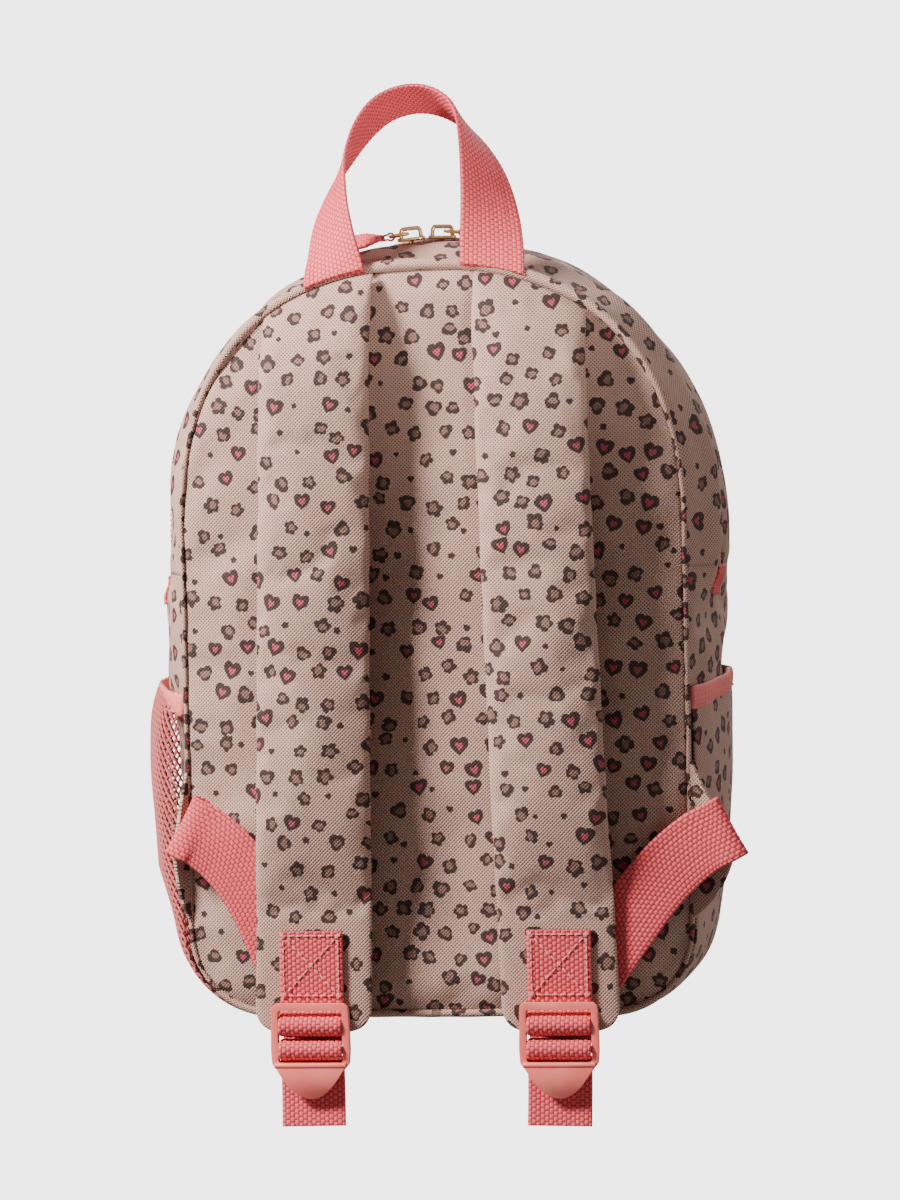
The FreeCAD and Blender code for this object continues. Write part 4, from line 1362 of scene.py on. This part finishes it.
def pocketBand(name, sign, node, puff=0.0):
    """Elastic folded over the pocket's top edge, gathered into small waves."""
    section = [(-1.1, -pocket["band"]), (-1.0, -0.6), (0.0, 0.3), (1.2, -0.5), (1.5, -pocket["band"] * 0.5),
               (1.3, -pocket["band"])]
    points, uvs = [], []
    columns = 110
    for c in range(columns + 1):
        y = 1.0 + 103.0 * c / columns
        row, ur = [], []
        for k, (lift, above) in enumerate(section):
            wave = 0.25 * math.sin(y * 2.1) * (1 if lift > 0 else 0)
            p, d = pocketPoint(sign, y, 1.0, lift + wave, above)
            row.append(p)
            ur.append((y, k * 3.0))
        points.append(row)
        uvs.append(ur)
    points = mirrored(points, sign)
    count = len(section)
    faces = [tuple(f) for f in gridFaces(columns + 1, count, closed=True)]
    faces.append(tuple(range(count)))
    faces.append(tuple(columns * count + k for k in reversed(range(count))))
    obj = newObject(name, points.reshape(-1, 3), faces, "elastic", np.asarray(uvs).reshape(-1, 2))
    b = bmesh.new()
    b.from_mesh(obj.data)
    bmesh.ops.recalc_face_normals(b, faces=b.faces)
    b.to_mesh(obj.data)
    b.free()
    applied(subdivide(obj, 1))
    finishPiece(obj, "bag", [node])
    path = [pocketPoint(sign, y, 1.0, 1.75, 2.2 - pocket["band"])[0] for y in np.linspace(4, 101, 60)]
    path = mirrored(path, sign)
    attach(stitches(name + "Stitches", [(path, [(sign, 0, 0)] * 60)]), "bag")


pocketBand("netBand", -1, "mesh_pocket_band")
pocketBand("clothBand", 1, "cloth_pocket_band")
print("side pockets sewn")


# ---- Front pocket ----

front = {"half": 78.0, "floor": 14.0, "top": 150.0, "depth": 12.5, "corner": 20.0}


def frontPocketPoint(u, v, lift=0.0):
    """u across -1 to 1, v up 0 to 1."""
    z = front["floor"] + (front["top"] - front["floor"]) * v
    half = front["half"]
    rise = z - front["floor"]
    if rise < front["corner"]:
        half -= front["corner"] - math.sqrt(max(0.0, front["corner"] ** 2 - (front["corner"] - rise) ** 2))
    x = half * u
    edge = min((1 - abs(u)) * half / 13.0, rise / 13.0, 1.0)
    puff = front["depth"] * math.sin(max(0.0, edge) * math.pi / 2) ** 0.7
    skin = 1.2 + 3.4 * (max(0.0, math.cos(x / 98 * math.pi / 2)) * max(0.0, math.sin(z / 290 * math.pi))) ** 0.6
    ripple = 0.8 * noise.noise(Vector((x / 30, z / 26, 4))) * max(0.0, edge)
    y = bag["depth"] + skin + puff + ripple + lift + 2.5 * max(0.0, v - 0.7) * (1 - u * u)
    return (x, y, z)


us, vs = np.linspace(-1, 1, 45), np.linspace(0, 1, 38)
grid = [[frontPocketPoint(u, v) for u in us] for v in vs]
frontPocket = gridPiece("frontPocket", grid, [[(p[0] + 2400, p[2]) for p in row] for row in grid], "print", (0.0, 1.0, 0.0))
applied(thicken(subdivide(frontPocket, 1), 1.0))
finishPiece(frontPocket, "bag", ["front_pocket"])
top = np.array([frontPocketPoint(u, 1.0, 0.2) for u in np.linspace(-1, 1, 90)]) + (0, 0, -3.5)
binding = webbingBand("frontPocketBinding", top, [(0, 0, 1)] * 90, width=9.0, thickness=2.6, step=0.8)
finishPiece(binding, "bag", ["front_pocket_binding"])
print("front pocket sewn")


# ---- Zip: teeth set along the track, sliders, rings and pull tabs ----

zipper = {"spacing": 2.1, "angle": {-1: 5.2, 1: 1.2}, "plateLift": 2.5, "window": 3.2, "ringDip": 4.0, "ringLength": 7.0,
          "tabDip": 2.8}
trackRadius = bag["halfWidth"] + sideRadius(bag["zipY"], bag["bulge"])
tooth = smallPiece("toothGrain", 1.35, 3.0, 1.7, 0.9)


def trackPath(y, lift, offset):
    points, outs = [], []
    reach = bag["archHeight"] - bag["fold"] - offset
    radius = trackRadius + lift
    for z in np.linspace(bag["archHeight"] - reach, bag["archHeight"], 12, endpoint=False):
        points.append((radius, y, z))
        outs.append((1, 0, 0))
    for a in np.linspace(0, math.pi, 150):
        points.append((radius * math.cos(a), y, bag["archHeight"] + radius * math.sin(a)))
        outs.append((math.cos(a), 0, math.sin(a)))
    for z in np.linspace(bag["archHeight"], bag["archHeight"] - reach, 12)[1:]:
        points.append((-radius, y, z))
        outs.append((-1, 0, 0))
    return points, outs


for name, y, offset, body in (("zipTeethBack", bag["zipY"] - 1.2, 0.6, "bag"), ("zipTeethFront", bag["zipY"] + 1.2, 1.65, "front_flap")):
    teeth = runTree(pathObject(name, [trackPath(y, 0.85, offset)]), repeatAlong, Piece=tooth,
                    Spacing=zipper["spacing"] / 1000, Material=materials["teeth"])
    finishPiece(teeth, body, ["zip_teeth_back" if body == "bag" else "zip_teeth_front"])


def onArch(points, sign):
    """From beside the top of the arch, x along it and z off the cloth, to its place. Drawn for the left."""
    p = np.asarray(points, float)
    a = -math.radians(zipper["angle"][sign])
    out = np.empty_like(p)
    out[..., 0] = p[..., 0] * math.cos(a) + (trackRadius + p[..., 2]) * math.sin(a)
    out[..., 1] = p[..., 1] + bag["zipY"]
    out[..., 2] = bag["archHeight"] - p[..., 0] * math.sin(a) + (trackRadius + p[..., 2]) * math.cos(a)
    out[..., 0] *= -sign
    return out


def dipped(points, pivot, degrees):
    """Turned down towards -X about a pivot (x, z)."""
    p = np.asarray(points, float)
    a = math.radians(degrees)
    dx, dz = p[..., 0] - pivot[0], p[..., 2] - pivot[1]
    out = p.copy()
    out[..., 0] = pivot[0] + dx * math.cos(a) - dz * math.sin(a)
    out[..., 2] = pivot[1] + dx * math.sin(a) + dz * math.cos(a)
    return out


def loopPath(x0, x1, half, z, corner, count=5):
    """A rounded rectangle in the XY plane."""
    return [(px, py, z) for px, py in roundedRect(x0, x1, -half, half, corner, count)]


pivotZ = zipper["plateLift"] + 1.0 + zipper["window"] - 1.3
pivotX = -1.2
ringTurn = math.radians(zipper["ringDip"])
ringEnd = (pivotX - zipper["ringLength"] * math.cos(ringTurn), pivotZ - zipper["ringLength"] * math.sin(ringTurn))


def plateMesh(z0, z1, length, width, crown, sign):
    b = roundedPlate(roundedRect(-length, length, -width, width, 1.6, 5), [], 0, 1)
    for v in b.verts:
        x, y, z = v.co.x, v.co.z, v.co.y
        lift = crown * (1 - (y / width) ** 2) if z > 0.5 else 0
        v.co = Vector(onArch((x, y, z0 + (z1 - z0) * z + lift), sign))
    bmesh.ops.recalc_face_normals(b, faces=b.faces)
    return b


def joined(name, objs):
    """One object from several that share materials."""
    whole = bmesh.new()
    mesh = bpy.data.meshes.new(name)
    for o in objs:
        whole.from_mesh(o.data)
    whole.to_mesh(mesh)
    whole.free()
    mesh.materials.append(objs[0].data.materials[0])
    mesh.shade_smooth()
    for o in objs:
        bpy.data.objects.remove(o, do_unlink=True)
    obj = bpy.data.objects.new(name, mesh)
    bpy.context.collection.objects.link(obj)
    return obj


for side, sign in sides:
    lift = zipper["plateLift"]
    plates = fromBmesh("plates", [plateMesh(lift, lift + 1.0, 5.3, 4.0, 0.5, sign),
                                  plateMesh(-2.6, -1.6, 5.3, 4.0, 0.0, sign),
                                  plateMesh(-1.7, lift + 0.1, 0.9, 0.35, 0.0, sign)], "gold")
    applied(bevel(plates, 0.25, 2))
    bail = [(-4.0, 0, lift + 0.6), (-3.9, 0, lift + 3.2), (-3.5, 0, lift + 4.3), (-2.6, 0, lift + 4.75),
            (2.6, 0, lift + 4.75), (3.5, 0, lift + 4.3), (3.9, 0, lift + 3.2), (4.0, 0, lift + 0.6)]
    bail = curvePath(bail, 40)
    bailWire = tube("bail", onArch(bail, sign), [0.85] * 40, "gold", sides_=12)
    finishPiece(joined(f"zipSlider_{side}", [plates, bailWire]), f"zip_slider_{side}", [f"zip_slider_{side}"])
    ring = dipped(loopPath(pivotX - zipper["ringLength"], pivotX, 2.4, pivotZ, 1.5), (pivotX, pivotZ), zipper["ringDip"])
    wire = tube(f"pullRing_{side}", onArch(ring, sign), [0.68] * len(ring), "gold", closed=True, sides_=12)
    finishPiece(applied(subdivide(wire, 1)), f"pull_ring_{side}", [f"pull_ring_{side}"])
    # pull tab: a doubled strip with a narrow eye round the ring
    ex, ez = ringEnd
    eye = [(ex - 4.6, 0, ez - 0.5), (ex - 2.6, 0, ez - 0.9)] + [
        (ex + 1.45 * math.cos(a), 0, ez + 1.45 * math.sin(a)) for a in np.linspace(math.radians(-140), math.radians(140), 20)
    ] + [(ex - 2.6, 0, ez + 0.9), (ex - 4.6, 0, ez + 0.5)]
    eyePath = onArch(dipped(curvePath(eye, 60), (ex, ez), zipper["tabDip"]), sign)
    eyeBand = webbingBand("eye", eyePath, [(0, 1, 0)] * 60, width=2.8, thickness=0.8, weave=False, step=0.4)
    body = [(ex - 3.0, 0, ez), (ex - 8, 0, ez + 0.25), (ex - 14, 0, ez + 0.1), (ex - 20, 0, ez - 0.5)]
    bodyPath = onArch(dipped(curvePath(body, 40), (ex, ez), zipper["tabDip"]), sign)
    roll = np.radians(38 * np.clip(np.linspace(-0.1, 2.2, 40), 0, 1))
    bodyBand = webbingBand("tab", bodyPath, [(0, math.cos(t), math.sin(t)) for t in roll], width=9.0, thickness=2.4)
    finishPiece(joined(f"pullTab_{side}", [bodyBand, eyeBand]), f"pull_tab_{side}", [f"pull_tab_{side}"])
    # end tab, sewn over the end of the zip
    heights, depths = np.linspace(bag["fold"] - 12.5, bag["fold"] - 0.8, 12), np.linspace(bag["zipY"] - 7, bag["zipY"] + 7, 14)
    points = [[skinAt(sign, z, y) + (1.0 * sign, 0, 0) for y in depths] for z in heights]
    uvs = [[(y + 50, z + 50) for y in depths] for z in heights]
    endTab = gridPiece(f"zipEndTab_{side}", points, uvs, "webbing", (float(sign), 0.0, 0.0))
    applied(thicken(subdivide(endTab, 1), 1.2, inner=None))
    finishPiece(endTab, "bag", [f"zip_end_tab_{side}"])
for node in ("zip_tape_back", "zip_tape_front"):
    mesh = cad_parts[node].data
    mesh.materials.clear()
    mesh.materials.append(materials["tape"])
print("zip closed")


# ---- Inside ----

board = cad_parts["base_board"].data
board.materials.clear()
board.materials.append(materials["board"])
shrunk = backGrid.copy()
shrunk[..., 0] *= 0.965
shrunk[..., 2] = 145 + (shrunk[..., 2] - 145) * 0.972
liningGrid, foamGrid = shrunk.copy(), shrunk.copy()
liningGrid[..., 1] = 8.2 - 1.2 * crownShape + hollow
foamGrid[..., 1] = 3.8 - 2.0 * crownShape + hollow
lining = gridPiece("backLining", liningGrid, liningGrid[..., [0, 2]], "lining", (0.0, 1.0, 0.0))
applied(thicken(subdivide(lining, 1), 0.6, inner=None))
finishPiece(lining, "bag", ["back_lining"])
foam = gridPiece("backFoam", foamGrid, foamGrid[..., [0, 2]], "foam", (0.0, -1.0, 0.0))
applied(thicken(subdivide(foam, 1), 3.6, inner=None))
finishPiece(foam, "bag", ["back_foam"])
for side, sign in sides:
    frontGridS, backGridS = strapGrid()
    rowsUsed = [r for r in range(4, strap["along"]) if frontGridS[r, :, 2].min() > strap["padFoot"] + 9]
    points, uvs = [], []
    for r in rowsUsed:
        ringPts = np.concatenate([frontGridS[r, 1:-1], backGridS[r, 1:-1][::-1]])
        middle = ringPts.mean(axis=0)
        points.append(middle + (ringPts - middle) * np.array([0.9, 0.42, 1.0]))
    points = mirrored(points, sign)
    count = points.shape[1]
    faces = gridFaces(len(rowsUsed), count, closed=True)
    faces += [tuple(range(count)), tuple((len(rowsUsed) - 1) * count + k for k in reversed(range(count)))]
    core = newObject(f"strapFoam_{side}", points.reshape(-1, 3), faces, "foam")
    b = bmesh.new()
    b.from_mesh(core.data)
    bmesh.ops.recalc_face_normals(b, faces=b.faces)
    b.to_mesh(core.data)
    b.free()
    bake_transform(core)
    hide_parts(f"strap_foam_{side}")
print("inside fitted")

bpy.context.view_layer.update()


# ---- Floor, light and camera ----

studio = {"azimuth": 8, "elevation": 2, "roll": -1.3, "distance": 1.65, "frameHeight": 0.468, "aimX": 0.0068, "aimZ": 160.7,
          "key": 38, "fill": 5.5, "behind": 10, "handleFill": 0.09, "world": 0.12, "backdrop": 4.0}


def seenWhite(tree, plain):
    """Evenly pale to the camera, and its own dimmer self to everything it lights."""
    glow = tree.nodes.new("ShaderNodeEmission" if plain.bl_idname != "ShaderNodeBackground" else "ShaderNodeBackground")
    glow.inputs["Color"].default_value = (1, 1, 1, 1)
    glow.inputs["Strength"].default_value = studio["backdrop"]
    mix, rays = tree.nodes.new("ShaderNodeMixShader"), tree.nodes.new("ShaderNodeLightPath")
    share = tree.nodes.new("ShaderNodeMath")                       # reflections see a little of it
    share.operation = "MULTIPLY_ADD"
    share.inputs[1].default_value = 0.1
    tree.links.new(rays.outputs["Is Glossy Ray"], share.inputs[0])
    tree.links.new(rays.outputs["Is Camera Ray"], share.inputs[2])
    tree.links.new(share.outputs[0], mix.inputs[0])
    tree.links.new(plain.outputs[0], mix.inputs[1])
    tree.links.new(glow.outputs[0], mix.inputs[2])
    end = next(node for node in tree.nodes if node.bl_idname in ("ShaderNodeOutputMaterial", "ShaderNodeOutputWorld"))
    tree.links.new(mix.outputs[0], end.inputs["Surface"])


def paleFloor():
    n = Nodes("paleFloor")
    shade = n.span(n.noise(n.object(), 3, 1.0), 0.14, 0.15)
    material = n.finish(Base_Color=n.add("ShaderNodeCombineColor", {0: shade, 1: shade, 2: shade}).outputs[0], Roughness=0.9)
    seenWhite(material.node_tree, n.shader)
    return material


materials["floor"] = paleFloor()
floorZ = (-75 - originMm[2]) / 1000
corners = [(-4, -4, floorZ), (4, -4, floorZ), (4, 4, floorZ), (-4, 4, floorZ)]
floor = newObject("floor", corners, [(0, 1, 2, 3)], "floor", inMm=False)

world = bpy.data.worlds.new("studio")
bpy.context.scene.world = world
world.use_nodes = True
sky = world.node_tree.nodes["Background"]
sky.inputs["Color"].default_value = (1, 0.86, 0.78, 1)
sky.inputs["Strength"].default_value = studio["world"]
seenWhite(world.node_tree, sky)

centre = Vector(place((0, 30, 150)))


def areaLight(name, azimuth, elevation, distance, size, power, aim=centre, spread=180):
    a, e = math.radians(azimuth), math.radians(elevation)
    way = Vector((math.sin(a) * math.cos(e), -math.cos(a) * math.cos(e), math.sin(e)))
    light = bpy.data.lights.new(name, "AREA")
    light.shape = "DISK"
    light.size = size
    light.energy = power
    light.spread = math.radians(spread)
    obj = bpy.data.objects.new(name, light)
    obj.location = aim + way * distance
    obj.rotation_euler = (-way).to_track_quat("-Z", "Y").to_euler()
    bpy.context.collection.objects.link(obj)


areaLight("key", -55, 36, 1.1, 0.28, studio["key"])
areaLight("fill", 84, 8, 1.6, 0.9, studio["fill"])
areaLight("behind", 160, 34, 1.5, 0.9, studio["behind"])
areaLight("handleFill", 24, -10, 0.9, 0.16, studio["handleFill"], Vector(place((0, 20, 345))), 16)

a, e = math.radians(studio["azimuth"]), math.radians(studio["elevation"])
way = Vector((math.sin(a) * math.cos(e), -math.cos(a) * math.cos(e), math.sin(e)))
aim = Vector(place((0, 0, studio["aimZ"]))) + Vector((math.cos(a), math.sin(a), 0)) * studio["aimX"]
camera = bpy.data.cameras.new("camera")
camera.sensor_fit = "VERTICAL"
camera.angle = 2 * math.atan(studio["frameHeight"] / 2 / studio["distance"])
cameraObj = bpy.data.objects.new("camera", camera)
cameraObj.location = aim + way * studio["distance"]
cameraObj.rotation_euler = ((-way).to_track_quat("-Z", "Y")
                            @ Quaternion((0, 0, 1), math.radians(studio["roll"]))).to_euler()
bpy.context.collection.objects.link(cameraObj)
bpy.context.scene.camera = cameraObj
print("studio set")
